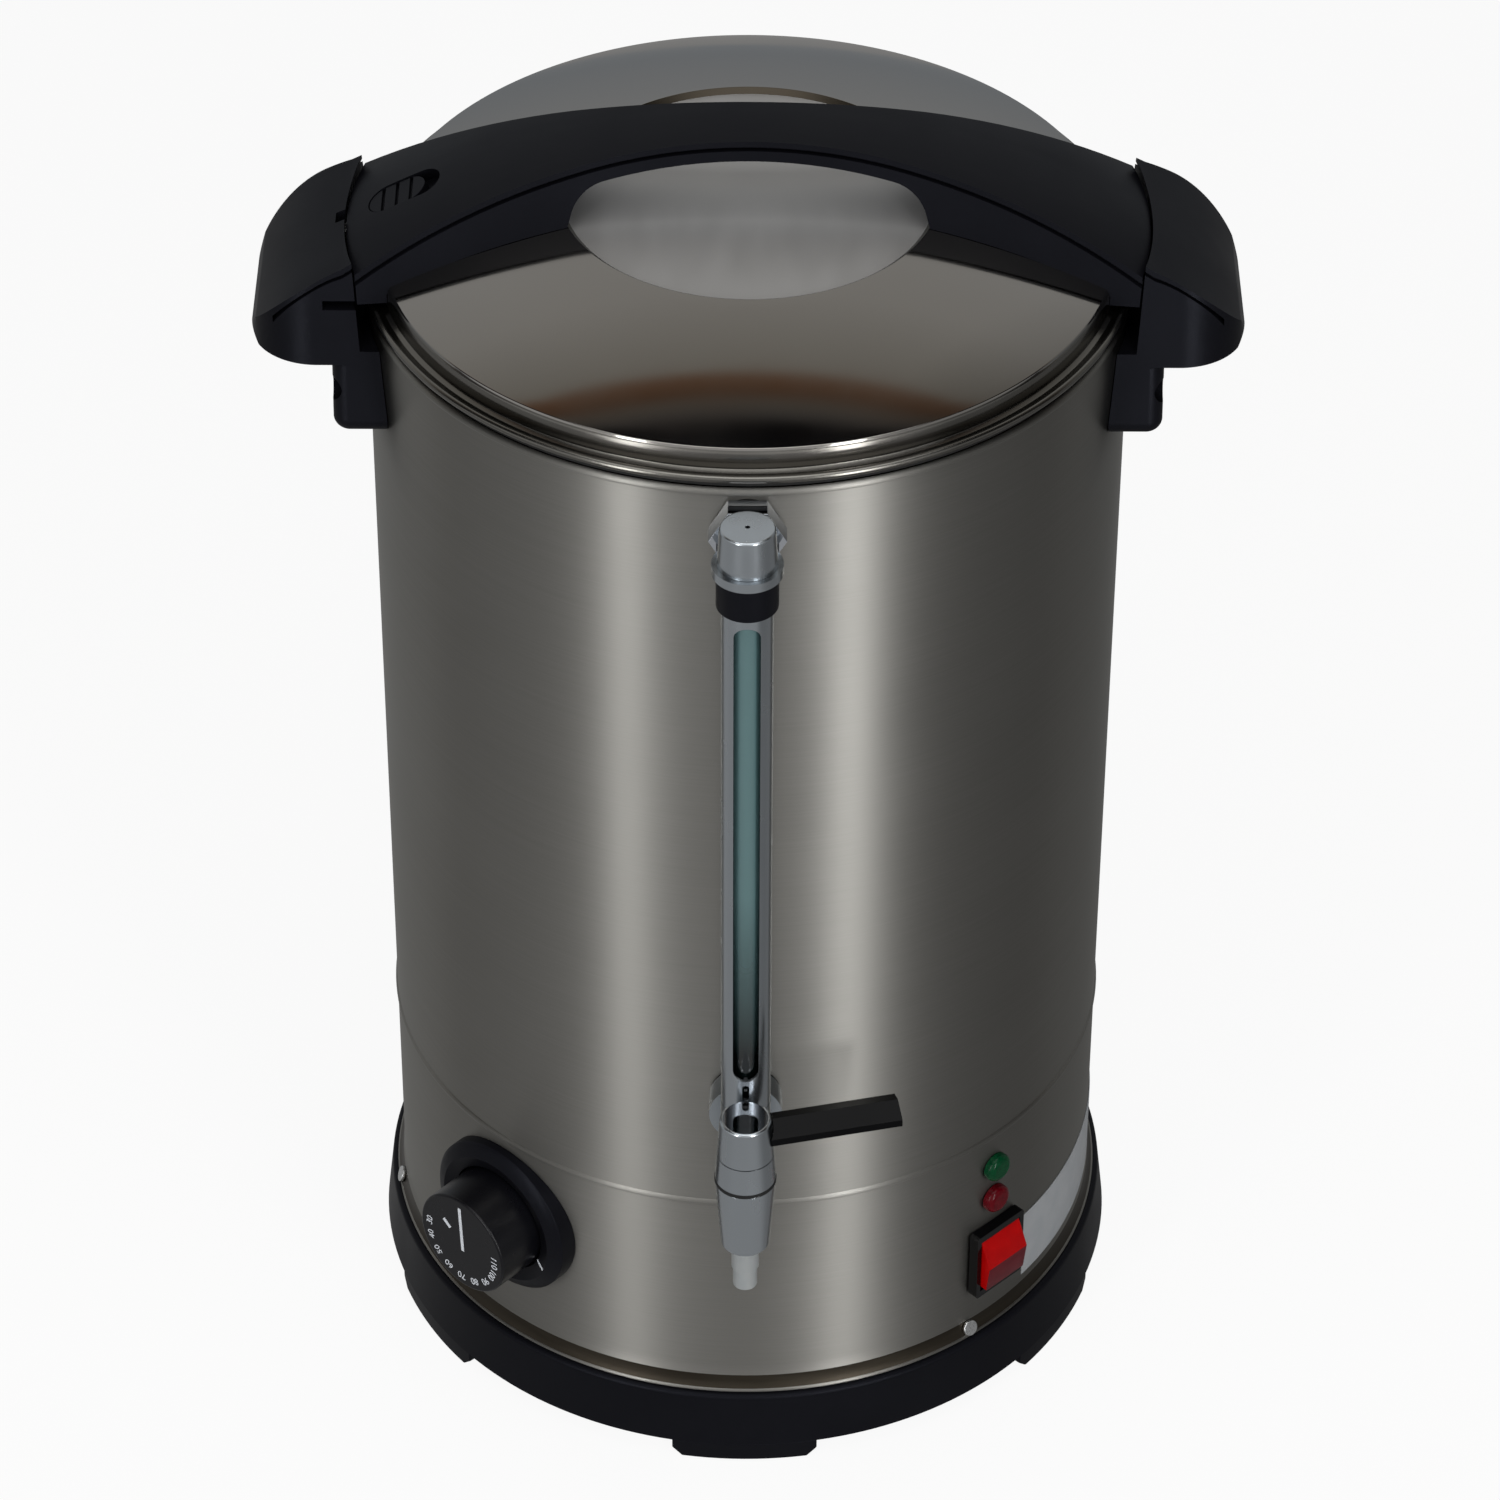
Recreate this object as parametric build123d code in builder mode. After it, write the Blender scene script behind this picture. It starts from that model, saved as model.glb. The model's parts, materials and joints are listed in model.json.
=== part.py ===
"""A 20 litre hot water urn: a stainless tank on a moulded base ring, with a lift-off lid,
a bridge handle, a sight gauge above the tap, a thermostat knob, a rocker switch and two lamps.

Millimetres. The origin is on the tank's axis at the plane the feet stand on, +Z is up
and the tap faces -Y. Azimuths are measured from the tap, positive towards +X.
"""
from math import asin, cos, degrees, radians, sin, sqrt
import os

from build123d import *

os.makedirs("parts", exist_ok=True)

# --- Tank and jacket ------------------------------------------------------------------
TANK_R = 140.0          # outside of the steel jacket
SHEET = 0.8             # steel sheet of jacket and tank bottom
JACKET_TOP = 470.2      # where the wall runs into its rolled rim
RIM_ROLL_R = 1.5        # tube radius of the rolled rim
CREASE_Z = 132.6        # bead that seats the tank bottom
CREASE_PROUD = 0.7
CREASE_HALF = 1.5
BOTTOM_SKIRT = 7.0      # turned-down edge of the tank bottom
WELD_GAP = 0.05         # between the tank bottom's skirt and the jacket

# --- Base -------------------------------------------------------------------------------
FOOT_COUNT = 6
FOOT_HEIGHT = 8.0
FOOT_SPAN = 22.5        # degrees of the ring under each foot
FOOT_DEPTH = 10.0
RING_TOP = 33.0
RING_OUT_BOTTOM = TANK_R + 8.0
RING_OUT_TOP = TANK_R + 5.2
RING_WALL = 6.5
RING_FLANGE = 3.0       # thickness of the ring's flanges
RING_EDGE = 2.0         # rounding of the ring's top edge
RIB_HEIGHT = 8.0        # rib that centres the jacket
RIB_WALL = 4.0
RIB_GAP = 0.6
FLARE_OUT = 2.9         # how far the jacket's lip flares out
FLARE_HEIGHT = 12.2
LIP_EDGE = 0.8
COVER_SHEET = 1.0
LEDGE_WIDTH = 7.5
COVER_GAP = 0.3

# --- Small screws -----------------------------------------------------------------------
SCREW_GAP = 0.08        # radial room round a screw's shank
LIP_SCREW_AZ = 39.0
LIP_SCREW_COUNT = 3
LIP_SCREW_Z = 37.0
LIP_SCREW_R = 1.6
LIP_SCREW_LENGTH = 8.0
LIP_HEAD_R = 3.25
LIP_HEAD_H = 1.6
COVER_SCREW_COUNT = 4
COVER_SCREW_LENGTH = 9.0
COVER_HEAD_H = 1.8

# --- Lid --------------------------------------------------------------------------------
LID_SHEET = 1.0
DISC_R = 69.3           # centre disc, set down below the dome
DISC_EDGE_Z = 504.4
DISC_DROP = 2.0
DOME_R = TANK_R - 5.8
DOME_EDGE_Z = 485.6
DOME_CREST_RADIUS = 380.0
STEP_R = TANK_R - 4.6          # foot of the dome's turned-down edge
LEDGE_Z = 478.3
LEDGE_DIP = 0.7
LID_RIM_R = TANK_R + 1.6
LID_RIM_ROLL = 1.5
SKIRT_R = TANK_R - 2.8         # collar that drops into the tank
SKIRT_BOTTOM = 467.5
GASKET_WIDTH = 1.9
GASKET_SQUEEZE = 0.1

# --- Handles ----------------------------------------------------------------------------
HANDLE_RISE = 29.8      # top of the handle above the disc's edge
HANDLE_TOP = DISC_EDGE_Z + HANDLE_RISE
HANDLE_ARC = 276.0      # radius of the handle's top line, seen from the front
HANDLE_CROWN = 220.0    # radius of the top face across the handle
BRIDGE_MID = 13.1       # half depth of the bridge at its middle
BRIDGE_SHOULDER_X = 64.0
BRIDGE_SHOULDER = 17.2  # half depth at the shoulder
HANDLE_END_X = TANK_R + 2.0
HANDLE_END = 25.9       # half depth at the split
HANDLE_DRAFT = 0.25     # outward slope of the front and rear faces
LID_HANDLE_END_R = TANK_R + 6.2
HANDLE_SPLIT_GAP = 0.8
HANDLE_FOOT_Z = 480.6
COVER_THICK = 1.9       # top cover of the lid handle
GROOVE_HEIGHT = 1.5     # shadow groove between cover and handle
GROOVE_DEPTH = 2.2
GROOVE_END = TANK_R + 32.0      # where the groove runs out on the side grips
ARCH_TOP = HANDLE_TOP - 7.5
ARCH_SHOULDER = (52.0, HANDLE_TOP - 13.4)
ARCH_KNEE = (64.0, HANDLE_TOP - 25.7)
ARCH_FOOT_X = 76.0
ARCH_FOOT_Z = 468.6
SEAT_GAP = 0.12         # between the handle's feet and the dome
FOOT_SCREW_X = 98.0     # screws up through the lid into the handle's feet
FOOT_SCREW_Y = 11.0
FOOT_SCREW_LENGTH = 13.0
FOOT_SCREW_CUP = 2.2    # height of the cup washer under the lid
GRIP_OUT = TANK_R + 41.0
GRIP_BOTTOM = 458.0
GRIP_TOP = HANDLE_TOP - 40.6
GRIP_CORNER = 25.0
GRIP_SHOULDER = (TANK_R + 26.0, HANDLE_TOP - 52.8)
GRIP_BROW_IN = 2.0
GRIP_BROW_UP = 9.0
GRIP_EDGE = 3.0         # chamfer under the grip's outer edge
GRIP_ROOT_RISE = 16.0
GRIP_ROOT = TANK_R - 20.0       # the grips' forms start inside the tank's radius and are cut back
LEG_OUT = TANK_R + 10.9
LEG_TOP = 463.0
LEG_BOTTOM = 431.0
LEG_GAP = 0.3           # between the legs and the jacket
LEG_SCREW_ANGLE = 16.0  # each side of the handle's middle
LEG_SCREW_Z = 447.0
LEG_SCREW_R = 2.5
LEG_RECESS_R = 4.6
LEG_RECESS_DEPTH = 4.0
LEG_HEAD_R = 4.2
LEG_HEAD_H = 2.6

# --- Lid lock ---------------------------------------------------------------------------
LOCK_X = -(TANK_R - 14.7)         # middle of the oval pocket
LOCK_LENGTH = 29.6      # along the slope of the handle's top
LOCK_WIDTH = 15.6
LOCK_TRAVEL = 6.0
LOCK_GAP = 0.35
LOCK_SUNK = 0.6         # from the handle's top down to the slider
SLIDER_DEPTH = 4.2
RIB_COUNT = 3
RIB_GROOVE = 1.3
BOLT_WIDTH = 6.0
BOLT_HEIGHT = 2.6
BOLT_REACH = 2.6        # how far the bolt stands into the side handle
BOLT_GAP = 0.3
LATCH_Z = 480.2         # slot in the left grip's front face that the lid's tongue turns into
LATCH_HEIGHT = 3.4
LATCH_REACH = 7.3
LATCH_DEPTH = 14.0

# --- Sight gauge ------------------------------------------------------------------------
GAUGE_D = TANK_R + 21.0         # gauge axis, out from the tank's axis
GUARD_R = 9.25
GUARD_WALL = 1.3
GUARD_BOTTOM = 206.0
GUARD_TOP = 441.0
WINDOW_WIDTH = 9.6
WINDOW_BOTTOM = 222.6
WINDOW_TOP = 434.8
SLIT_WIDTH = 2.6
SLIT_BOTTOM = 213.5
SLIT_TOP = 220.8
GLASS_R = 6.2
GLASS_WALL = 1.5
GLASS_GAP = 0.1
PACKING_HEIGHT = 4.5
PACK_R = 7.3            # outside of the rings that seal the glass
GLASS_SOCKET = 7.5      # how far the glass stands into the boss below it
COLLAR_R = 11.1
COLLAR_TOP = 453.0
FLANGE_R = 12.65
FLANGE_TOP = 456.8
CAP_FOOT_R = 10.7
CAP_TOP_R = 9.9
CAP_TOP = 472.5
CAP_WALL = 2.0
VENT_R = 0.9
STUB_Z = 457.5
STUB_R = 6.5
STUB_BORE_R = 3.5
STUB_NUT_AF = 24.0
STUB_NUT_FRONT = TANK_R + 9.6  # out from the tank's axis
STUB_INNER_AF = 18.0    # low nut that stays under the lid's collar

# --- Tap --------------------------------------------------------------------------------
TAP_Z = 190.0
COLUMN_D = GAUGE_D + 20.0        # tap column, out from the tank's axis
TAP_FLANGE_R = 13.75
TAP_FLANGE_FRONT = TANK_R + 12.0
TAP_NECK_R = 7.5
TAP_SHANK_R = 9.5
TAP_SHANK_END = TANK_R - 19.0
TAP_BORE_R = 4.5
WAY_R = 3.2             # waterway from the boss into the column
WAY_WALL = 2.0
BOSS_R = 9.4
BOSS_WALL = 1.0         # of the boss under the tap's neck
HEAD_TOP = 214.5
HEAD_TOP_R = 9.6
CONE_FOOT_R = 11.45
HEAD_SPLIT = 197.5
HEAD_GAP = 0.4
SEAL_BOTTOM = 184.1
SEAL_TOP = 185.9
SEAL_R = 11.6
SPIGOT_R = 8.8
SPIGOT_BOTTOM = 176.0
SPOUT_TOP_R = 11.4
SPOUT_FOOT_R = 9.05
SPOUT_FOOT = 152.0
NOZZLE_R = 5.2
NOZZLE_TIP_R = 4.6
NOZZLE_STEP = 139.6
NOZZLE_TIP = 130.5
NOZZLE_BORE_R = 3.4
NOZZLE_SOCKET = 9.0
PLUG_R = 6.0
PLUG_FIT = 0.06
PLUG_TANG_R = 4.0
PLUG_TANG_TOP = 204.0
LEVER_BOTTOM = 204.0
LEVER_TOP = 211.0
LEVER_DEPTH = 12.4
LEVER_END = 58.5
LEVER_TURN = 13.2       # degrees back from straight to the right
LEVER_STUD_R = 2.0
LEVER_STUD_DEPTH = 5.0
WASHER = 1.4            # thickness of the seals at the wall
WALL_SEAT = 0.12        # from the jacket to a seal
NUT_HEIGHT = 5.5
TAP_NUT_AF = 30.0

# --- Thermostat knob --------------------------------------------------------------------
KNOB_AZ = -42.0
KNOB_Z = 94.2
BEZEL_R = 33.4
BEZEL_BORE = 23.0
BEZEL_CROWN_R = 28.0
BEZEL_FRONT = TANK_R + 6.5
BEZEL_SHOULDER = 3.2    # from the bezel's crown down to its edge
BEZEL_EASE = 1.6
BEZEL_REACH = 10.0      # the bezel's form starts inside the jacket and is cut to it
KNOB_R = 22.2
KNOB_FACE = TANK_R + 25.3
KNOB_BACK = TANK_R + 1.2
KNOB_WALL = 2.6
SHAFT_R = 3.0
SHAFT_FIT = 0.06
HUB_R = 6.5
HUB_BACK = TANK_R + 4.5
SHAFT_TIP = TANK_R + 18.0
STAT_R = 19.0
STAT_FRONT = TANK_R - 2.4
STAT_DEPTH = 22.0
STAT_NECK_R = 5.0
STAT_NECK_END = TANK_R + 3.2
STAT_NUT_AF = 14.0

# --- Switch and lamps -------------------------------------------------------------------
SWITCH_AZ = 44.2
SWITCH_Z = 71.0
SWITCH_WIDTH = 26.0
SWITCH_HEIGHT = 32.5
SWITCH_FRONT = TANK_R + 4.6
SWITCH_SEAT = TANK_R + 0.2
SWITCH_BACK = TANK_R - 22.0
ROCKER_WIDTH = 21.0
ROCKER_HALF = 12.0
ROCKER_END_RISE = 6.4   # ends of the rocker, out from its pivot
ROCKER_RIDGE = 9.7
ROCKER_BACK = 2.2
ROCKER_TAPER = 2.0      # each end, towards the rocker's back
ROCKER_TILT = 8.0
ROCKER_SIDE_GAP = 0.3
ROCKER_END_GAP = 1.1
ROCKER_PIVOT_DEPTH = 5.0
PIVOT_PIN_R = 1.5
PIVOT_PIN_FIT = 0.06
PIVOT_PIN_REACH = 0.9
SWITCH_WALL = 1.2
SWITCH_POCKET = 5.5     # from the pivot to the pocket's floor
LAMP_AZ = 44.0
LAMP_ZS = {"lamp_green": 116.5, "lamp_red": 100.0}
LAMP_R = 6.0
LAMP_FRONT = TANK_R + 4.4
LAMP_RIM = 1.6
LAMP_BODY_R = 4.9
LAMP_BACK = TANK_R - 18.0
LAMP_NUT_R = 6.8
LABEL_FROM = 52.0
LABEL_TO = 100.0
LABEL_BOTTOM = 43.5
LABEL_TOP = 76.0
LABEL_SHEET = 0.3

# --- Heating and wiring -----------------------------------------------------------------
ELEMENT_R = 90.0
ELEMENT_TUBE_R = 4.25
ELEMENT_RISE = 18.0     # above the tank bottom
ELEMENT_GAP_ANGLE = 26.0
ELEMENT_AZ = 180.0
ELEMENT_LEG_END = 106.0
BUSH_R = 7.0
BUSH_FLANGE_R = 10.0
BUSH_FLANGE = 2.0
BUSH_LENGTH = 12.0
BUSH_NUT_AF = 19.0
CUTOUT_R = 8.0
CUTOUT_HEIGHT = 10.0
CUTOUT_TAB = 24.0
BLOCK_LENGTH = 52.0
BLOCK_DEPTH = 18.0
BLOCK_HEIGHT = 17.0
BLOCK_D = 105.0
BLOCK_WAYS = 3
GLAND_Z = 66.0
GLAND_R = 8.0
GLAND_BORE_R = 3.75
GLAND_HEX = 20.0
GLAND_FRONT = TANK_R + 10.0

# --- Sizes worked out from the above ----------------------------------------------------
TANK_IN = TANK_R - SHEET
ROLL_R = TANK_R + 1.0 - RIM_ROLL_R
ROLL_Z = JACKET_TOP + 1.4
RIM_TOP = ROLL_Z + RIM_ROLL_R
FLARE_RADIUS = (FLARE_OUT ** 2 + FLARE_HEIGHT ** 2) / (2 * FLARE_OUT)
FLARE_TOP = RING_TOP + LIP_EDGE + FLARE_HEIGHT
TANK_FLOOR = CREASE_Z + 0.2
HANDLE_CENTRE_Z = HANDLE_TOP - HANDLE_ARC
PIVOT_D = SWITCH_FRONT - ROCKER_PIVOT_DEPTH
FAR = 400.0             # longer than anything that it cuts


def out_from_wall(azimuth, height, distance=0.0, rise=0.0):
    """Plane facing straight out at an azimuth: x to its right, y up, rise tilts it upwards."""
    turn = radians(azimuth)
    outward = Vector(sin(turn), -cos(turn), 0)
    across = Vector(cos(turn), sin(turn), 0)
    normal = outward * cos(radians(rise)) + Vector(0, 0, 1) * sin(radians(rise))
    origin = outward * distance + Vector(0, 0, height)
    return Plane(origin=origin, x_dir=across, z_dir=normal)


def dome_z(radius, lift=0.0):
    """Height of the lid's dome at a radius."""
    crest = DISC_EDGE_Z - sqrt(DOME_CREST_RADIUS ** 2 - DISC_R ** 2)
    return crest + sqrt((DOME_CREST_RADIUS + lift) ** 2 - radius ** 2)


def wall_inside(half_width):
    """Flat seat inside the jacket for a piece this wide."""
    return sqrt(TANK_IN ** 2 - half_width ** 2) - WALL_SEAT


def flare_r(height):
    """Outer radius of the jacket's flared lip at a height."""
    drop = FLARE_TOP - height
    return TANK_R + FLARE_RADIUS - sqrt(FLARE_RADIUS ** 2 - drop ** 2)


def cone_r(height):
    """Radius of the tap column's upper cone at a height."""
    slope = (CONE_FOOT_R - HEAD_TOP_R) / (HEAD_TOP - SEAL_TOP)
    return CONE_FOOT_R - slope * (height - SEAL_TOP)


def bore(plane, radius, near, far, across=(0.0, 0.0)):
    """Cuts a round hole in the open part, from near to far along the plane's normal."""
    with BuildSketch(plane.offset(near)) as section:
        with Locations(across):
            Circle(radius)
    extrude(section.sketch, amount=far - near, mode=Mode.SUBTRACT)


def disc(plane, radius, near, far, across=(0.0, 0.0)):
    """Adds a round boss to the open part, from near to far along the plane's normal."""
    with BuildSketch(plane.offset(near)) as section:
        with Locations(across):
            Circle(radius)
    extrude(section.sketch, amount=far - near)


def hexagon(plane, across_flats, near, far):
    """Adds a hexagonal prism to the open part, from near to far along the plane's normal."""
    with BuildSketch(plane.offset(near)) as section:
        RegularPolygon(across_flats / 2, 6, major_radius=False)
    extrude(section.sketch, amount=far - near)


def write(piece, name):
    """Labels a finished piece and writes its STEP file."""
    piece.part.label = name
    export_step(piece.part, f"parts/{name}.step")


TAP_LINE = out_from_wall(0, TAP_Z)
WAY_LINE = out_from_wall(0, SEAL_TOP + SEAT_GAP + WAY_R + WAY_WALL)
STUB_LINE = out_from_wall(0, STUB_Z)
KNOB_LINE = out_from_wall(KNOB_AZ, KNOB_Z)
SWITCH_LINE = out_from_wall(SWITCH_AZ, SWITCH_Z)
GLAND_LINE = out_from_wall(180, GLAND_Z)
GAUGE_BASE = Plane(origin=(0, -GAUGE_D, 0))
COLUMN_BASE = Plane(origin=(0, -COLUMN_D, 0))
LIP_AZIMUTHS = [LIP_SCREW_AZ + 360 / LIP_SCREW_COUNT * step for step in range(LIP_SCREW_COUNT)]
LIP_TILT = degrees(asin((FLARE_TOP - LIP_SCREW_Z) / FLARE_RADIUS))
LIP_LINES = [out_from_wall(az, LIP_SCREW_Z, flare_r(LIP_SCREW_Z), LIP_TILT) for az in LIP_AZIMUTHS]
LEG_AZIMUTHS = [side * 90 + turn for side in (-1, 1) for turn in (-LEG_SCREW_ANGLE, LEG_SCREW_ANGLE)]
LEG_LINES = [out_from_wall(az, LEG_SCREW_Z) for az in LEG_AZIMUTHS]
COVER_Z = FOOT_HEIGHT + COVER_HEAD_H
RING_IN = RING_OUT_BOTTOM - RING_WALL
COVER_SCREW_R = RING_IN - LEDGE_WIDTH / 2
ELEMENT_Z = TANK_FLOOR + ELEMENT_RISE
ELEMENT_AZIMUTHS = [ELEMENT_AZ - ELEMENT_GAP_ANGLE / 2, ELEMENT_AZ + ELEMENT_GAP_ANGLE / 2]
ELEMENT_FEET = [(ELEMENT_R * sin(radians(az)), -ELEMENT_R * cos(radians(az))) for az in ELEMENT_AZIMUTHS]
FOOT_SCREW_PLACES = [(x, y) for x in (-FOOT_SCREW_X, FOOT_SCREW_X) for y in (-FOOT_SCREW_Y, FOOT_SCREW_Y)]
FOOT_SCREW_Z = dome_z(sqrt(FOOT_SCREW_X ** 2 + FOOT_SCREW_Y ** 2)) - LID_SHEET - FOOT_SCREW_CUP
BULB_PLACE = (-ELEMENT_R * 0.6, -ELEMENT_R * 0.35)

# --- Base ring, with its feet -----------------------------------------------------------
with BuildPart() as base_ring:
    with BuildSketch(Plane.XZ):
        with BuildLine():
            rib_out = TANK_IN - RIB_GAP
            rib_in = rib_out - RIB_WALL
            ledge_low = COVER_Z + COVER_SHEET
            Polyline(
                (RING_IN, FOOT_HEIGHT), (RING_OUT_BOTTOM, FOOT_HEIGHT), (RING_OUT_TOP, RING_TOP),
                (rib_out, RING_TOP), (rib_out, RING_TOP + RIB_HEIGHT), (rib_in, RING_TOP + RIB_HEIGHT),
                (rib_in, RING_TOP - RING_FLANGE), (RING_IN, RING_TOP - RING_FLANGE),
                (RING_IN, ledge_low + RING_FLANGE), (RING_IN - LEDGE_WIDTH, ledge_low + RING_FLANGE),
                (RING_IN - LEDGE_WIDTH, ledge_low), (RING_IN, ledge_low), close=True)
        make_face()
    revolve(axis=Axis.Z)
    outer_edges = base_ring.edges().filter_by(GeomType.CIRCLE)
    fillet(outer_edges.filter_by(lambda edge: abs(edge.radius - RING_OUT_TOP) < 0.01), radius=RING_EDGE)
    with BuildSketch(Plane.XZ):
        foot_mid = RING_OUT_BOTTOM - FOOT_DEPTH / 2 - 0.5
        with Locations((foot_mid, FOOT_HEIGHT / 2)):
            Rectangle(FOOT_DEPTH, FOOT_HEIGHT)
    foot = revolve(axis=Axis.Z, revolution_arc=FOOT_SPAN, mode=Mode.PRIVATE)
    first_turn = -90 - FOOT_SPAN / 2
    for step in range(FOOT_COUNT):
        add(foot.rotate(Axis.Z, first_turn + 360 / FOOT_COUNT * step))
    for line in LIP_LINES:
        bore(line, LIP_SCREW_R + SCREW_GAP, -LIP_SCREW_LENGTH - 1, 0)
    with BuildSketch(Plane.XY.offset(COVER_Z)):
        with PolarLocations(COVER_SCREW_R, COVER_SCREW_COUNT, start_angle=15):
            Circle(LIP_SCREW_R + SCREW_GAP)
    extrude(amount=COVER_SCREW_LENGTH, mode=Mode.SUBTRACT)
write(base_ring, "base_ring")

with BuildPart() as base_screws:
    for line in LIP_LINES:
        disc(line, LIP_SCREW_R, -LIP_SCREW_LENGTH, 0.2)
        disc(line, LIP_HEAD_R, 0.2, LIP_HEAD_H)
write(base_screws, "base_screws")

with BuildPart() as bottom_cover:
    with BuildSketch(Plane.XY.offset(COVER_Z)):
        Circle(RING_IN - COVER_GAP)
        with PolarLocations(COVER_SCREW_R, COVER_SCREW_COUNT, start_angle=15):
            Circle(LIP_SCREW_R + SCREW_GAP, mode=Mode.SUBTRACT)
        with PolarLocations(RING_IN * 0.5, 12):
            SlotOverall(26, 4, mode=Mode.SUBTRACT)
    extrude(amount=COVER_SHEET)
write(bottom_cover, "bottom_cover")

with BuildPart() as cover_screws:
    with BuildSketch(Plane.XY.offset(COVER_Z)):
        with PolarLocations(COVER_SCREW_R, COVER_SCREW_COUNT, start_angle=15):
            Circle(LIP_SCREW_R)
    extrude(amount=COVER_SCREW_LENGTH - 1)
    with BuildSketch(Plane.XY.offset(COVER_Z)):
        with PolarLocations(COVER_SCREW_R, COVER_SCREW_COUNT, start_angle=15):
            Circle(LIP_HEAD_R)
    extrude(amount=-COVER_HEAD_H)
write(cover_screws, "cover_screws")

# --- Jacket: one rolled sheet, flared at its foot and curled at its rim -------------------
with BuildPart() as jacket:
    with BuildSketch(Plane.XZ):
        with BuildLine():
            lip = TANK_R + FLARE_OUT
            lip_z = RING_TOP + LIP_EDGE
            half_drop = FLARE_HEIGHT / 2
            middle = flare_r(FLARE_TOP - half_drop)
            Line((TANK_IN, JACKET_TOP), (TANK_IN, FLARE_TOP))
            ThreePointArc((TANK_IN, FLARE_TOP), (middle - SHEET, FLARE_TOP - half_drop), (lip - SHEET, lip_z))
            Polyline((lip - SHEET, lip_z), (lip - SHEET, RING_TOP), (lip, RING_TOP), (lip, lip_z))
            ThreePointArc((lip, lip_z), (middle, FLARE_TOP - half_drop), (TANK_R, FLARE_TOP))
            Line((TANK_R, FLARE_TOP), (TANK_R, CREASE_Z - CREASE_HALF))
            ThreePointArc((TANK_R, CREASE_Z - CREASE_HALF), (TANK_R + CREASE_PROUD, CREASE_Z),
                          (TANK_R, CREASE_Z + CREASE_HALF))
            Polyline((TANK_R, CREASE_Z + CREASE_HALF), (TANK_R, JACKET_TOP), (TANK_IN, JACKET_TOP))
        make_face()
        with Locations((ROLL_R, ROLL_Z)):
            Circle(RIM_ROLL_R)
    revolve(axis=Axis.Z)
    reach = (TANK_R - 8, TANK_R + 8)
    bore(TAP_LINE, TAP_SHANK_R + 0.3, *reach)
    bore(STUB_LINE, STUB_R + 0.3, *reach)
    bore(KNOB_LINE, STAT_NECK_R + 0.3, *reach)
    bore(GLAND_LINE, GLAND_R + 0.3, *reach)
    for lamp_z in LAMP_ZS.values():
        bore(out_from_wall(LAMP_AZ, lamp_z), LAMP_BODY_R + 0.15, *reach)
    for line in LEG_LINES:
        bore(line, LEG_SCREW_R + SCREW_GAP, *reach)
    for line in LIP_LINES:
        bore(line, LIP_SCREW_R + SCREW_GAP, -4, 3)
    with BuildSketch(SWITCH_LINE.offset(TANK_R - 8)):
        body_height = 2 * (ROCKER_HALF + ROCKER_END_GAP + SWITCH_WALL)
        body_width = ROCKER_WIDTH + 2 * (ROCKER_SIDE_GAP + SWITCH_WALL)
        Rectangle(body_width + 0.6, body_height + 0.6)
    extrude(amount=16, mode=Mode.SUBTRACT)
write(jacket, "jacket")

# --- Tank bottom and what it carries ------------------------------------------------------
with BuildPart() as tank_bottom:
    with BuildSketch(Plane.XY.offset(TANK_FLOOR - SHEET)):
        Circle(TANK_IN - WELD_GAP)
        with Locations(*ELEMENT_FEET):
            Circle(BUSH_R + SCREW_GAP, mode=Mode.SUBTRACT)
        with Locations(BULB_PLACE):
            Circle(STAT_NECK_R + SCREW_GAP, mode=Mode.SUBTRACT)
    extrude(amount=SHEET)
    with BuildSketch(Plane.XY.offset(TANK_FLOOR - SHEET)):
        Circle(TANK_IN - WELD_GAP)
        Circle(TANK_IN - WELD_GAP - SHEET, mode=Mode.SUBTRACT)
    extrude(amount=-BOTTOM_SKIRT)
write(tank_bottom, "tank_bottom")

with BuildPart() as heating_element:
    with BuildSketch(out_from_wall(ELEMENT_AZIMUTHS[1] - 90, 0)):
        with Locations((ELEMENT_R, ELEMENT_Z)):
            Circle(ELEMENT_TUBE_R)
    revolve(axis=Axis.Z, revolution_arc=360 - ELEMENT_GAP_ANGLE)
    with Locations(*[(x, y, ELEMENT_Z) for x, y in ELEMENT_FEET]):
        Sphere(ELEMENT_TUBE_R)
    with BuildSketch(Plane.XY.offset(ELEMENT_LEG_END)):
        with Locations(*ELEMENT_FEET):
            Circle(ELEMENT_TUBE_R)
    extrude(amount=ELEMENT_Z - ELEMENT_LEG_END)
write(heating_element, "heating_element")

with BuildPart() as element_bushes:
    with BuildSketch(Plane.XY.offset(TANK_FLOOR)):
        with Locations(*ELEMENT_FEET):
            Circle(BUSH_FLANGE_R)
    extrude(amount=BUSH_FLANGE)
    with BuildSketch(Plane.XY.offset(TANK_FLOOR)):
        with Locations(*ELEMENT_FEET):
            Circle(BUSH_R)
    extrude(amount=-BUSH_LENGTH)
    with BuildSketch(Plane.XY.offset(TANK_FLOOR - BUSH_LENGTH)):
        with Locations(*ELEMENT_FEET):
            Circle(ELEMENT_TUBE_R + SCREW_GAP)
    extrude(amount=BUSH_LENGTH + BUSH_FLANGE, mode=Mode.SUBTRACT)
write(element_bushes, "element_bushes")

with BuildPart() as element_nuts:
    with BuildSketch(Plane.XY.offset(TANK_FLOOR - SHEET)):
        with Locations(*ELEMENT_FEET):
            RegularPolygon(BUSH_NUT_AF / 2, 6, major_radius=False)
            Circle(BUSH_R + SCREW_GAP, mode=Mode.SUBTRACT)
    extrude(amount=-NUT_HEIGHT)
write(element_nuts, "element_nuts")

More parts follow.
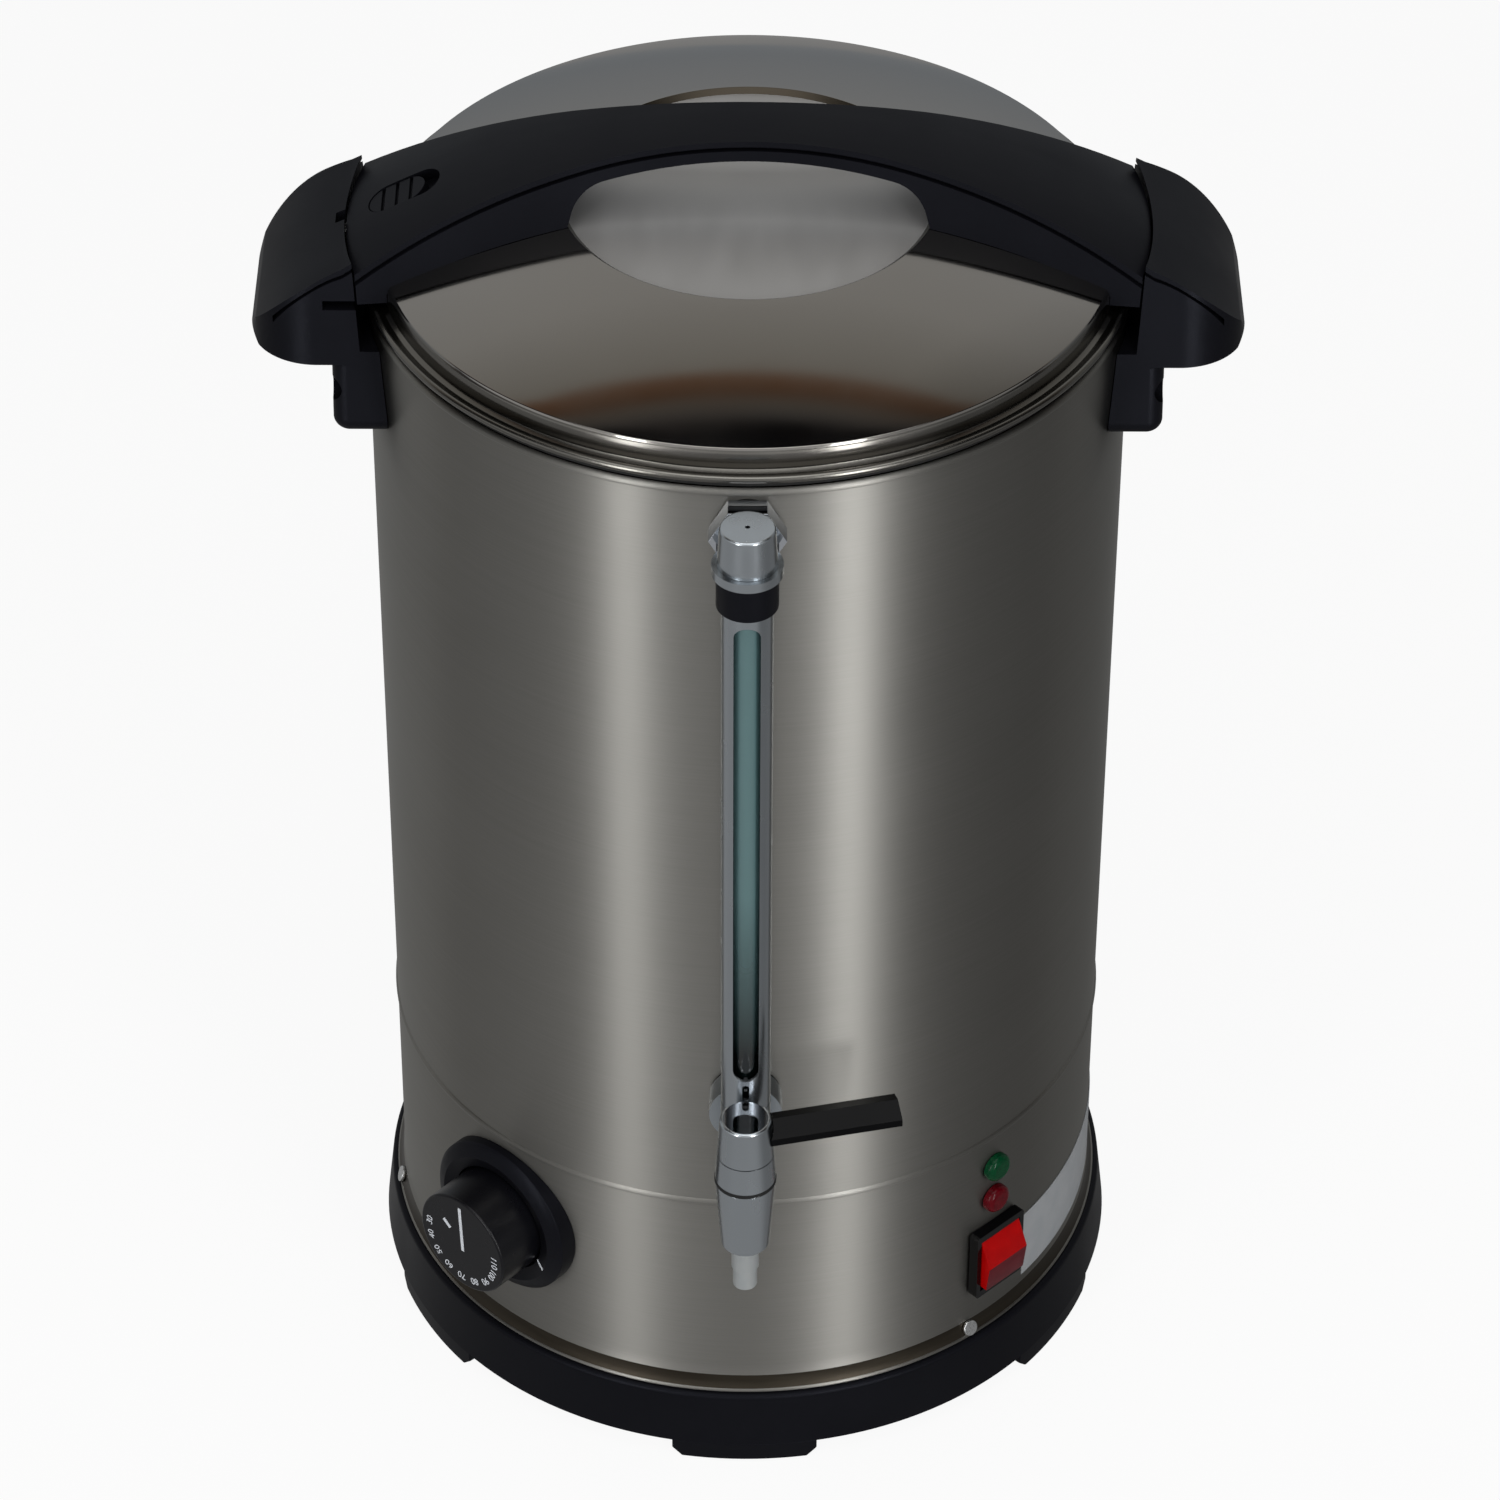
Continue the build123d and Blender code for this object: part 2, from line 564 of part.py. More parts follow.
with BuildPart() as thermal_cutout:
    with BuildSketch(Plane.XY.offset(TANK_FLOOR - SHEET)):
        Circle(CUTOUT_R)
    extrude(amount=-CUTOUT_HEIGHT)
    with BuildSketch(Plane.XY.offset(TANK_FLOOR - SHEET)):
        SlotOverall(CUTOUT_TAB, CUTOUT_R)
    extrude(amount=-COVER_SHEET)
    fillet(thermal_cutout.edges().group_by(Axis.Z)[0], radius=0.8)
write(thermal_cutout, "thermal_cutout")

with BuildPart() as thermostat_bulb:
    with BuildSketch(Plane.XY.offset(TANK_FLOOR - NUT_HEIGHT - SHEET)):
        with Locations(BULB_PLACE):
            Circle(STAT_NECK_R)
    extrude(amount=NUT_HEIGHT + SHEET)
    with BuildSketch(Plane.XY.offset(TANK_FLOOR)):
        with Locations(BULB_PLACE):
            Circle(BUSH_R)
    extrude(amount=BUSH_FLANGE)
    with BuildSketch(Plane.XY.offset(TANK_FLOOR + BUSH_FLANGE)):
        with Locations(BULB_PLACE):
            Circle(SHAFT_R)
    extrude(amount=ELEMENT_RISE)
    fillet(thermostat_bulb.edges().group_by(Axis.Z)[-1], radius=SHAFT_R * 0.6)
write(thermostat_bulb, "thermostat_bulb")

with BuildPart() as bulb_nut:
    with BuildSketch(Plane.XY.offset(TANK_FLOOR - SHEET)):
        with Locations(BULB_PLACE):
            RegularPolygon(STAT_NUT_AF / 2, 6, major_radius=False)
            Circle(STAT_NECK_R + SCREW_GAP, mode=Mode.SUBTRACT)
    extrude(amount=-NUT_HEIGHT + 1)
write(bulb_nut, "bulb_nut")

block_floor = COVER_Z + COVER_SHEET
way_pitch = BLOCK_LENGTH / (BLOCK_WAYS + 0.5)
WAY_XS = [way_pitch * (way - (BLOCK_WAYS - 1) / 2) for way in range(BLOCK_WAYS)]
with BuildPart() as terminal_block:
    with BuildSketch(Plane.XY.offset(block_floor)):
        with Locations((0, BLOCK_D)):
            Rectangle(BLOCK_LENGTH, BLOCK_DEPTH)
    extrude(amount=BLOCK_HEIGHT)
    fillet(terminal_block.edges().filter_by(Axis.Z), radius=1.5)
    with BuildSketch(Plane.XY.offset(block_floor + BLOCK_HEIGHT / 2)):
        with Locations(*[(x, BLOCK_D) for x in WAY_XS]):
            Circle(LIP_HEAD_R + 0.4)
    extrude(amount=BLOCK_HEIGHT, mode=Mode.SUBTRACT)
write(terminal_block, "terminal_block")

with BuildPart() as terminal_screws:
    with BuildSketch(Plane.XY.offset(block_floor + BLOCK_HEIGHT / 2)):
        with Locations(*[(x, BLOCK_D) for x in WAY_XS]):
            Circle(LIP_HEAD_R)
    extrude(amount=BLOCK_HEIGHT / 3)
write(terminal_screws, "terminal_screws")

gland_seat = wall_inside(GLAND_HEX * 0.6)
with BuildPart() as cable_gland:
    disc(GLAND_LINE, GLAND_R, gland_seat - NUT_HEIGHT - 2, TANK_R + WALL_SEAT)
    hexagon(GLAND_LINE, GLAND_HEX, TANK_R + WALL_SEAT, GLAND_FRONT - 4)
    disc(GLAND_LINE, GLAND_HEX / 2 - 0.6, GLAND_FRONT - 4, GLAND_FRONT)
    bore(GLAND_LINE, GLAND_BORE_R, gland_seat - NUT_HEIGHT - 2, GLAND_FRONT)
write(cable_gland, "cable_gland")

with BuildPart() as gland_nut:
    hexagon(GLAND_LINE, GLAND_HEX, gland_seat - NUT_HEIGHT, gland_seat)
    bore(GLAND_LINE, GLAND_R + SCREW_GAP, gland_seat - NUT_HEIGHT, gland_seat)
write(gland_nut, "gland_nut")


# --- Lid ----------------------------------------------------------------------------------
def lid_outside(lift=0.0):
    """Draws the lid's outer line from the axis to its rim, lifted by a clearance."""
    disc_z = DISC_EDGE_Z - DISC_DROP + lift
    Line((0, disc_z), (DISC_R - DISC_DROP, disc_z))
    Line((DISC_R - DISC_DROP, disc_z), (DISC_R, DISC_EDGE_Z + lift))
    half = (DISC_R + DOME_R) / 2
    dome_foot = (DOME_R, DOME_EDGE_Z + lift)
    ThreePointArc((DISC_R, DISC_EDGE_Z + lift), (half, dome_z(half, lift)), dome_foot)
    step_top = (STEP_R + lift, DOME_EDGE_Z - STEP_R + DOME_R - 1 + lift)
    Line(dome_foot, step_top)
    Line(step_top, (STEP_R + lift, LEDGE_Z + lift))


with BuildPart() as lid_shell:
    with BuildSketch(Plane.XZ):
        with BuildLine():
            lid_outside()
            rim_in = LID_RIM_R - LID_RIM_ROLL
            ledge_mid = (STEP_R + rim_in) / 2
            ThreePointArc((STEP_R, LEDGE_Z), (ledge_mid, LEDGE_Z - LEDGE_DIP), (rim_in, LEDGE_Z))
            inner_foot = (DOME_R - LID_SHEET, DOME_EDGE_Z - LID_SHEET)
            Polyline((rim_in, LEDGE_Z), (rim_in, LEDGE_Z - LID_SHEET - LEDGE_DIP),
                     (SKIRT_R, LEDGE_Z - LID_SHEET - LEDGE_DIP), (SKIRT_R, SKIRT_BOTTOM),
                     (SKIRT_R - LID_SHEET, SKIRT_BOTTOM),
                     (SKIRT_R - LID_SHEET, LEDGE_Z - LID_SHEET), (STEP_R - LID_SHEET, LEDGE_Z - LID_SHEET),
                     (STEP_R - LID_SHEET, DOME_EDGE_Z - 2 * LID_SHEET), inner_foot)
            inner_half = (DISC_R + DOME_R) / 2
            inner_disc = (DISC_R + LID_SHEET / 2, DISC_EDGE_Z - LID_SHEET)
            ThreePointArc(inner_foot, (inner_half, dome_z(inner_half) - LID_SHEET), inner_disc)
            floor_z = DISC_EDGE_Z - DISC_DROP - LID_SHEET
            Polyline(inner_disc, (DISC_R - DISC_DROP + LID_SHEET / 2, floor_z), (0, floor_z),
                     (0, DISC_EDGE_Z - DISC_DROP))
        make_face()
        with Locations((rim_in, LEDGE_Z - LID_RIM_ROLL * 0.6)):
            Circle(LID_RIM_ROLL)
    revolve(axis=Axis.Z)
    with BuildSketch(Plane.XY.offset(LEDGE_Z)):
        with Locations(*FOOT_SCREW_PLACES):
            Circle(LEG_SCREW_R + SCREW_GAP)
    extrude(amount=FAR, mode=Mode.SUBTRACT)
write(lid_shell, "lid_shell")

with BuildPart() as lid_gasket:
    with BuildSketch(Plane.XY.offset(RIM_TOP + GASKET_SQUEEZE)):
        Circle(SKIRT_R + SCREW_GAP + GASKET_WIDTH)
        Circle(SKIRT_R + SCREW_GAP, mode=Mode.SUBTRACT)
    extrude(amount=LEDGE_Z - LID_SHEET - LEDGE_DIP - RIM_TOP - 2 * GASKET_SQUEEZE)
write(lid_gasket, "lid_gasket")


# --- Handles: one drafted form, split into the lid's bridge and two side grips --------------
def handle_half_depth(half_depth, height):
    """Half depth of the handle at a height, from the one at the handle's top."""
    return half_depth + HANDLE_DRAFT * (HANDLE_TOP - height)


def bridge_outline(height, inset=0.0):
    """Plan of the bridge at a height, narrow in the middle and wide at its ends."""
    middle = handle_half_depth(BRIDGE_MID, height) - inset
    shoulder = handle_half_depth(BRIDGE_SHOULDER, height) - inset
    slope = (HANDLE_END - BRIDGE_SHOULDER) / (HANDLE_END_X - BRIDGE_SHOULDER_X)
    end_x = LID_HANDLE_END_R + 4
    end = shoulder + slope * (end_x - BRIDGE_SHOULDER_X)
    with BuildSketch(Plane.XY.offset(height)) as outline:
        with BuildLine():
            for side in (-1, 1):
                ThreePointArc((-BRIDGE_SHOULDER_X, side * shoulder), (0, side * middle),
                              (BRIDGE_SHOULDER_X, side * shoulder))
                for way in (-1, 1):
                    Line((way * BRIDGE_SHOULDER_X, side * shoulder), (way * end_x, side * end))
            for way in (-1, 1):
                Line((way * end_x, -end), (way * end_x, end))
        make_face()
    return outline.sketch


def crowned_bar(sunk=0.0):
    """Barrel under the handle's crowned top face, set down by a depth."""
    with BuildPart() as barrel:
        with BuildSketch(Plane.YZ):
            with BuildLine():
                edge = HANDLE_END_X / 2
                fall = HANDLE_CROWN - sqrt(HANDLE_CROWN ** 2 - edge ** 2)
                top = HANDLE_TOP - sunk
                ThreePointArc((-edge, top - fall), (0, top), (edge, top - fall))
                Polyline((edge, top - fall), (edge, HANDLE_CENTRE_Z), (-edge, HANDLE_CENTRE_Z),
                         (-edge, top - fall))
            make_face()
        revolve(axis=Axis((0, 0, HANDLE_CENTRE_Z), (0, 1, 0)))
    return barrel.part


def bridge_form(sunk=0.0, inset=0.0):
    """The bridge's outer form under its top face, before the finger arch."""
    with BuildPart() as form:
        loft([bridge_outline(HANDLE_FOOT_Z - 8, inset), bridge_outline(HANDLE_TOP + 2, inset)])
        add(crowned_bar(sunk), mode=Mode.INTERSECT)
        with BuildSketch(Plane.XY.offset(HANDLE_FOOT_Z)) as ends:
            Circle(LID_HANDLE_END_R)
        extrude(ends.sketch, amount=FAR, mode=Mode.INTERSECT)
    return form.part


def finger_arch():
    """Cuts the finger gap under the bridge."""
    with BuildSketch(Plane.XZ.offset(-FAR / 2)) as arch:
        with BuildLine():
            knee_x, knee_z = ARCH_KNEE
            shoulder_x, shoulder_z = ARCH_SHOULDER
            crown = ThreePointArc((-shoulder_x, shoulder_z), (0, ARCH_TOP), (shoulder_x, shoulder_z))
            right = TangentArc((shoulder_x, shoulder_z), (knee_x, knee_z), tangent=crown % 1)
            foot = (ARCH_FOOT_X, ARCH_FOOT_Z)
            Line((knee_x, knee_z), (foot[0], foot[1]))
            left = TangentArc((-shoulder_x, shoulder_z), (-knee_x, knee_z), tangent=-(crown % 0))
            Line((-knee_x, knee_z), (-foot[0], foot[1]))
            Line((-foot[0], foot[1]), (foot[0], foot[1]))
        make_face()
    extrude(arch.sketch, amount=FAR, mode=Mode.SUBTRACT)


with BuildPart() as lid_envelope:
    with BuildSketch(Plane.XZ):
        with BuildLine():
            lid_outside(SEAT_GAP)
            Polyline((STEP_R + SEAT_GAP, LEDGE_Z + SEAT_GAP), (STEP_R + SEAT_GAP, LEDGE_Z - 12),
                     (0, LEDGE_Z - 12), (0, DISC_EDGE_Z - DISC_DROP + SEAT_GAP))
        make_face()
    revolve(axis=Axis.Z)

COVER_ROOT = COVER_THICK + GROOVE_HEIGHT
LOCK_RISE = sqrt(HANDLE_ARC ** 2 - LOCK_X ** 2)
LOCK_LINE = Plane(origin=(LOCK_X, 0, HANDLE_CENTRE_Z + LOCK_RISE), x_dir=(LOCK_RISE, 0, -LOCK_X),
                  z_dir=(LOCK_X, 0, LOCK_RISE))
BOLT_TIP_X = -(LID_HANDLE_END_R + BOLT_REACH)
BOLT_DEPTH = SLIDER_DEPTH + LOCK_SUNK
BOLT_MID_DEPTH = BOLT_DEPTH + BOLT_HEIGHT / 2
BOLT_TIP = (BOLT_TIP_X - LOCK_X + BOLT_MID_DEPTH * LOCK_X / HANDLE_ARC) * HANDLE_ARC / LOCK_RISE
BOLT_BACK = -LOCK_TRAVEL / 2
BOLT_TIP_Z = HANDLE_CENTRE_Z + LOCK_RISE - (BOLT_TIP * LOCK_X + BOLT_MID_DEPTH * LOCK_RISE) / HANDLE_ARC


def lock_oval(low, high, length, width, mode=Mode.SUBTRACT, shift=0.0):
    """Oval well or plug in line with the handle, between two depths below its top."""
    with BuildSketch(LOCK_LINE.offset(-low)) as oval:
        with Locations((shift, 0)):
            SlotOverall(length, width)
    extrude(oval.sketch, amount=low - high, mode=mode)


def bolt_bar(gap, tip, back, mode):
    """Flat bar of the lock's bolt, or its channel when a gap is given."""
    with BuildSketch(LOCK_LINE.offset(-BOLT_DEPTH - BOLT_HEIGHT - gap)) as bar:
        with Locations(((back + tip) / 2, 0)):
            Rectangle(back - tip, BOLT_WIDTH + 2 * gap)
    extrude(bar.sketch, amount=BOLT_HEIGHT + 2 * gap, mode=mode)


with BuildPart() as lid_handle:
    add(bridge_form(COVER_ROOT))
    add(bridge_form(COVER_THICK, GROOVE_DEPTH))
    finger_arch()
    add(lid_envelope.part, mode=Mode.SUBTRACT)
    lock_oval(BOLT_DEPTH, -COVER_THICK, LOCK_LENGTH, LOCK_WIDTH)
    bolt_bar(BOLT_GAP, BOLT_TIP - LOCK_TRAVEL, BOLT_BACK + LOCK_TRAVEL + BOLT_GAP, Mode.SUBTRACT)
    with BuildSketch(Plane.XY.offset(FOOT_SCREW_Z)):
        with Locations(*FOOT_SCREW_PLACES):
            Circle(LEG_SCREW_R + SCREW_GAP)
    extrude(amount=FOOT_SCREW_LENGTH + 1, mode=Mode.SUBTRACT)
write(lid_handle, "lid_handle")

with BuildPart() as lid_handle_cover:
    add(bridge_form())
    add(crowned_bar(COVER_THICK - SEAT_GAP / 2), mode=Mode.SUBTRACT)
    lock_oval(BOLT_DEPTH, -COVER_THICK, LOCK_LENGTH, LOCK_WIDTH)
write(lid_handle_cover, "lid_handle_cover")

with BuildPart() as lid_handle_screws:
    with BuildSketch(Plane.XY.offset(FOOT_SCREW_Z)):
        with Locations(*FOOT_SCREW_PLACES):
            Circle(LEG_SCREW_R)
    extrude(amount=FOOT_SCREW_LENGTH)
    with BuildSketch(Plane.XY.offset(FOOT_SCREW_Z)):
        with Locations(*FOOT_SCREW_PLACES):
            Circle(LEG_HEAD_R)
    extrude(amount=-LEG_HEAD_H)
write(lid_handle_screws, "lid_handle_screws")

with BuildPart() as lock_slider:
    slider_length = LOCK_LENGTH - LOCK_TRAVEL - 2 * LOCK_GAP
    slider_shift = -LOCK_TRAVEL / 2
    slider_width = LOCK_WIDTH - 2 * LOCK_GAP
    lock_oval(BOLT_DEPTH - SEAT_GAP, LOCK_SUNK, slider_length, slider_width, Mode.ADD, slider_shift)
    rib_pitch = slider_length / (RIB_COUNT + 1)
    groove_xs = [slider_shift + rib_pitch * (step - (RIB_COUNT - 1) / 2) for step in range(RIB_COUNT)]
    with BuildSketch(LOCK_LINE.offset(-LOCK_SUNK)):
        with Locations(*[(groove_x, 0) for groove_x in groove_xs]):
            Rectangle(RIB_GROOVE, LOCK_WIDTH)
    extrude(amount=-RIB_GROOVE, mode=Mode.SUBTRACT)
write(lock_slider, "lock_slider")

with BuildPart() as lock_bolt:
    bolt_bar(0, BOLT_TIP, BOLT_BACK, Mode.ADD)
write(lock_bolt, "lock_bolt")


def grip_outline(height, out, corner, inset=0.0):
    """Plan of a side handle at a height, on the right, with rounded outer corners."""
    half = handle_half_depth(HANDLE_END, height) - inset
    with BuildSketch(Plane.XY.offset(height)) as outline:
        with BuildLine():
            Polyline((GRIP_ROOT, -half), (out - inset, -half), (out - inset, half), (GRIP_ROOT, half),
                     close=True)
        make_face()
        fillet(outline.vertices().filter_by(lambda v: v.X > TANK_R), radius=corner)
    return outline.sketch


def grip_side(sunk=0.0):
    """Front view of a grip: its crowned top runs down to a rounded outer edge."""
    with BuildPart() as side:
        with BuildSketch(Plane.XZ.offset(-FAR / 2)):
            with BuildLine():
                shoulder = (GRIP_SHOULDER[0], GRIP_SHOULDER[1] - sunk)
                brow = (GRIP_OUT - GRIP_BROW_IN - sunk, GRIP_BOTTOM + GRIP_BROW_UP - sunk)
                inner = (LID_HANDLE_END_R, GRIP_TOP - sunk)
                root_top = (GRIP_ROOT, GRIP_TOP + GRIP_ROOT_RISE - sunk)
                Line(root_top, inner)
                ThreePointArc(inner, shoulder, brow)
                Polyline(brow, (GRIP_OUT, GRIP_BOTTOM + GRIP_EDGE), (GRIP_OUT - GRIP_EDGE, GRIP_BOTTOM),
                         (GRIP_ROOT, GRIP_BOTTOM), root_top)
            make_face()
        extrude(amount=FAR)
    return side.part


def grip_form(sunk=0.0, inset=0.0):
    """Upper part of a side handle, under its top face."""
    with BuildPart() as form:
        loft([grip_outline(GRIP_BOTTOM - 4, GRIP_OUT, GRIP_CORNER, inset),
              grip_outline(GRIP_TOP + 6, GRIP_OUT, GRIP_CORNER, inset)])
        add(grip_side(sunk), mode=Mode.INTERSECT)
    return form.part


def grip_groove():
    """Shadow groove in a grip's front and rear faces, in line with the lid handle's."""
    with BuildPart() as groove:
        add(grip_side(COVER_THICK))
        add(grip_side(COVER_ROOT), mode=Mode.SUBTRACT)
        add(grip_form(0, GROOVE_DEPTH), mode=Mode.SUBTRACT)
        with BuildSketch(Plane.YZ.offset(GROOVE_END)) as beyond:
            Rectangle(2 * FAR, 3 * FAR)
        extrude(beyond.sketch, amount=FAR, mode=Mode.SUBTRACT)
    return groove.part


with BuildPart() as side_handle_right:
    add(grip_form())
    add(grip_groove(), mode=Mode.SUBTRACT)
    loft([grip_outline(LEG_BOTTOM, LEG_OUT, 6), grip_outline(LEG_TOP, LEG_OUT, 6)])
    low_edges = side_handle_right.edges().filter_by(lambda edge: edge.center().Z < LEG_BOTTOM + 0.1)
    fillet(low_edges.filter_by(lambda edge: edge.center().X > TANK_R - 15), radius=5)
    with BuildSketch(Plane.XY.offset(LEG_BOTTOM - 2)) as well:
        Circle(TANK_R + LEG_GAP)
    extrude(well.sketch, amount=FAR, mode=Mode.SUBTRACT)
    with BuildSketch(Plane.XY.offset(LEG_TOP)) as mouth:
        Circle(LID_HANDLE_END_R + HANDLE_SPLIT_GAP)
    extrude(mouth.sketch, amount=FAR, mode=Mode.SUBTRACT)
    for line in LEG_LINES[2:]:
        recess_floor = LEG_OUT - LEG_RECESS_DEPTH
        bore(line, LEG_SCREW_R + SCREW_GAP, TANK_R - 5, LEG_OUT + 5)
        bore(line, LEG_RECESS_R, recess_floor, LEG_OUT + 15)
write(side_handle_right, "side_handle_right")

with BuildPart() as side_handle_left:
    add(side_handle_right.part.mirror(Plane.YZ))
    with BuildSketch(Plane.XY.offset(BOLT_TIP_Z - BOLT_HEIGHT - BOLT_GAP)):
        keeper_back = -(LID_HANDLE_END_R - 2)
        keeper_tip = BOLT_TIP_X - BOLT_HEIGHT / 2 - BOLT_GAP
        with Locations(((keeper_back + keeper_tip) / 2, 0)):
            Rectangle(keeper_back - keeper_tip, BOLT_WIDTH + 2 * BOLT_GAP)
    extrude(amount=FAR, mode=Mode.SUBTRACT)
    slot_front = handle_half_depth(HANDLE_END, LATCH_Z)
    with BuildSketch(Plane.XZ.offset(slot_front - LATCH_DEPTH)):
        with Locations((-LID_HANDLE_END_R, LATCH_Z)):
            Rectangle(2 * LATCH_REACH, LATCH_HEIGHT)
    extrude(amount=FAR, mode=Mode.SUBTRACT)
write(side_handle_left, "side_handle_left")

with BuildPart() as side_handle_screws:
    for line in LEG_LINES:
        head_seat = LEG_OUT - LEG_RECESS_DEPTH + SEAT_GAP
        disc(line, LEG_SCREW_R, TANK_IN - NUT_HEIGHT - 3, head_seat)
        disc(line, LEG_HEAD_R, head_seat, head_seat + LEG_HEAD_H)
write(side_handle_screws, "side_handle_screws")

with BuildPart() as side_handle_nuts:
    for line in LEG_LINES:
        nut_seat = wall_inside(LEG_HEAD_R)
        disc(line, LEG_HEAD_R, nut_seat - NUT_HEIGHT, nut_seat)
        bore(line, LEG_SCREW_R + SCREW_GAP, nut_seat - NUT_HEIGHT, nut_seat)
write(side_handle_nuts, "side_handle_nuts")

# --- Tap ------------------------------------------------------------------------------------
tap_seal_back = TANK_R + WALL_SEAT
tap_flange_back = tap_seal_back + WASHER
chamber_bottom = SEAL_BOTTOM
chamber_top = HEAD_SPLIT - HEAD_GAP / 2
with BuildPart() as tap_body:
    disc(TAP_LINE, TAP_FLANGE_R, tap_flange_back, TAP_FLANGE_FRONT)
    disc(TAP_LINE, TAP_SHANK_R, TAP_SHANK_END, tap_flange_back)
    disc(TAP_LINE, TAP_NECK_R, TAP_FLANGE_FRONT, GAUGE_D)
    disc(GAUGE_BASE, BOSS_R, TAP_Z - TAP_NECK_R - BOSS_WALL, GUARD_BOTTOM)
    bore(COLUMN_BASE, SEAL_R + SEAT_GAP, SPIGOT_BOTTOM, SEAL_TOP)
    bore(COLUMN_BASE, cone_r(HEAD_SPLIT) + SEAT_GAP, chamber_top, GUARD_BOTTOM)
    with BuildSketch(Plane.XZ.offset(COLUMN_D)):
        with BuildLine():
            Polyline((0, SEAL_TOP), (CONE_FOOT_R, SEAL_TOP), (cone_r(chamber_top), chamber_top),
                     (0, chamber_top), close=True)
        make_face()
    revolve(axis=Axis((0, -COLUMN_D, 0), (0, 0, 1)))
    disc(COLUMN_BASE, SPIGOT_R, SPIGOT_BOTTOM, SEAL_TOP)
    disc(WAY_LINE, WAY_R + WAY_WALL, GAUGE_D, COLUMN_D - PLUG_R)
    bore(TAP_LINE, TAP_BORE_R, TAP_SHANK_END, GAUGE_D)
    bore(WAY_LINE, WAY_R, GAUGE_D, COLUMN_D)
    bore(COLUMN_BASE, PLUG_R + PLUG_FIT, chamber_bottom, chamber_top)
    bore(COLUMN_BASE, TAP_BORE_R, SPIGOT_BOTTOM, chamber_bottom)
    bore(GAUGE_BASE, STUB_BORE_R, TAP_Z, GUARD_BOTTOM)
    bore(GAUGE_BASE, PACK_R + GLASS_GAP, GUARD_BOTTOM - GLASS_SOCKET, GUARD_BOTTOM)
write(tap_body, "tap_body")

GLASS_BOTTOM = GUARD_BOTTOM - GLASS_SOCKET + GLASS_GAP
GLASS_TOP = STUB_Z - STUB_BORE_R - 1.5

with BuildPart() as tap_plug:
    disc(COLUMN_BASE, PLUG_R, chamber_bottom + HEAD_GAP, HEAD_SPLIT)
    disc(COLUMN_BASE, PLUG_TANG_R, HEAD_SPLIT, PLUG_TANG_TOP)
    bore(COLUMN_BASE, WAY_R, chamber_bottom, WAY_LINE.origin.Z)
    plug_port = Plane(origin=(0, -COLUMN_D, WAY_LINE.origin.Z), x_dir=(0, 1, 0), z_dir=(-1, 0, 0))
    bore(plug_port, WAY_R, 0, PLUG_R + 1)
write(tap_plug, "tap_plug")

lever_mid_z = (LEVER_BOTTOM + LEVER_TOP) / 2
lever_out = Vector(cos(radians(LEVER_TURN)), sin(radians(LEVER_TURN)), 0)
lever_across = Vector(-sin(radians(LEVER_TURN)), cos(radians(LEVER_TURN)), 0)
lever_line = Plane(origin=(0, -COLUMN_D, lever_mid_z), x_dir=lever_across, z_dir=lever_out)
stud_near = HEAD_TOP_R - LEVER_STUD_DEPTH
with BuildPart() as tap_head:
    with BuildSketch(Plane.XZ.offset(COLUMN_D)):
        with BuildLine():
            head_bottom = HEAD_SPLIT + HEAD_GAP / 2
            Polyline((0, head_bottom), (cone_r(head_bottom), head_bottom), (HEAD_TOP_R, HEAD_TOP),
                     (0, HEAD_TOP), close=True)
        make_face()
    revolve(axis=Axis((0, -COLUMN_D, 0), (0, 0, 1)))
    fillet(tap_head.edges().group_by(Axis.Z)[-1], radius=1.2)
    bore(COLUMN_BASE, PLUG_R + PLUG_FIT, head_bottom - 1, HEAD_SPLIT + SEAT_GAP)
    bore(COLUMN_BASE, PLUG_TANG_R + SHAFT_FIT, HEAD_SPLIT, PLUG_TANG_TOP + SEAT_GAP)
    bore(lever_line, LEVER_STUD_R + SHAFT_FIT, stud_near - SEAT_GAP, CONE_FOOT_R)
write(tap_head, "tap_head")

with BuildPart() as tap_lever:
    lever_root = cone_r(LEVER_BOTTOM) + SEAT_GAP
    with BuildSketch(lever_line):
        with BuildLine():
            half_deep = LEVER_DEPTH / 2
            half_tall = (LEVER_TOP - LEVER_BOTTOM) / 2
            Polyline((-half_deep, -half_tall), (half_deep, -half_tall), (half_deep, half_tall * 0.55),
                     (half_deep * 0.2, half_tall), (-half_deep, -half_tall * 0.1), close=True)
        make_face()
    extrude(amount=LEVER_END)
    bore(COLUMN_BASE, lever_root, LEVER_BOTTOM - 1, LEVER_TOP + 1)
    disc(lever_line, LEVER_STUD_R, stud_near, CONE_FOOT_R)
write(tap_lever, "tap_lever")

with BuildPart() as tap_seal_ring:
    disc(COLUMN_BASE, SEAL_R, SEAL_BOTTOM + SCREW_GAP, SEAL_TOP - SCREW_GAP)
    bore(COLUMN_BASE, SPIGOT_R + SCREW_GAP, SEAL_BOTTOM, SEAL_TOP)
write(tap_seal_ring, "tap_seal_ring")

with BuildPart() as tap_spout:
    with BuildSketch(Plane.XZ.offset(COLUMN_D)):
        with BuildLine():
            Polyline((0, SPOUT_FOOT), (SPOUT_FOOT_R, SPOUT_FOOT), (SPOUT_TOP_R, SEAL_BOTTOM),
                     (0, SEAL_BOTTOM), close=True)
        make_face()
    revolve(axis=Axis((0, -COLUMN_D, 0), (0, 0, 1)))
    fillet(tap_spout.edges().group_by(Axis.Z)[0], radius=1.0)
    bore(COLUMN_BASE, SPIGOT_R + SCREW_GAP, SPIGOT_BOTTOM - SEAT_GAP, SEAL_BOTTOM + 1)
    bore(COLUMN_BASE, TAP_BORE_R, SPOUT_FOOT, SPIGOT_BOTTOM)
    bore(COLUMN_BASE, NOZZLE_R + SCREW_GAP, SPOUT_FOOT - 1, SPOUT_FOOT + NOZZLE_SOCKET)
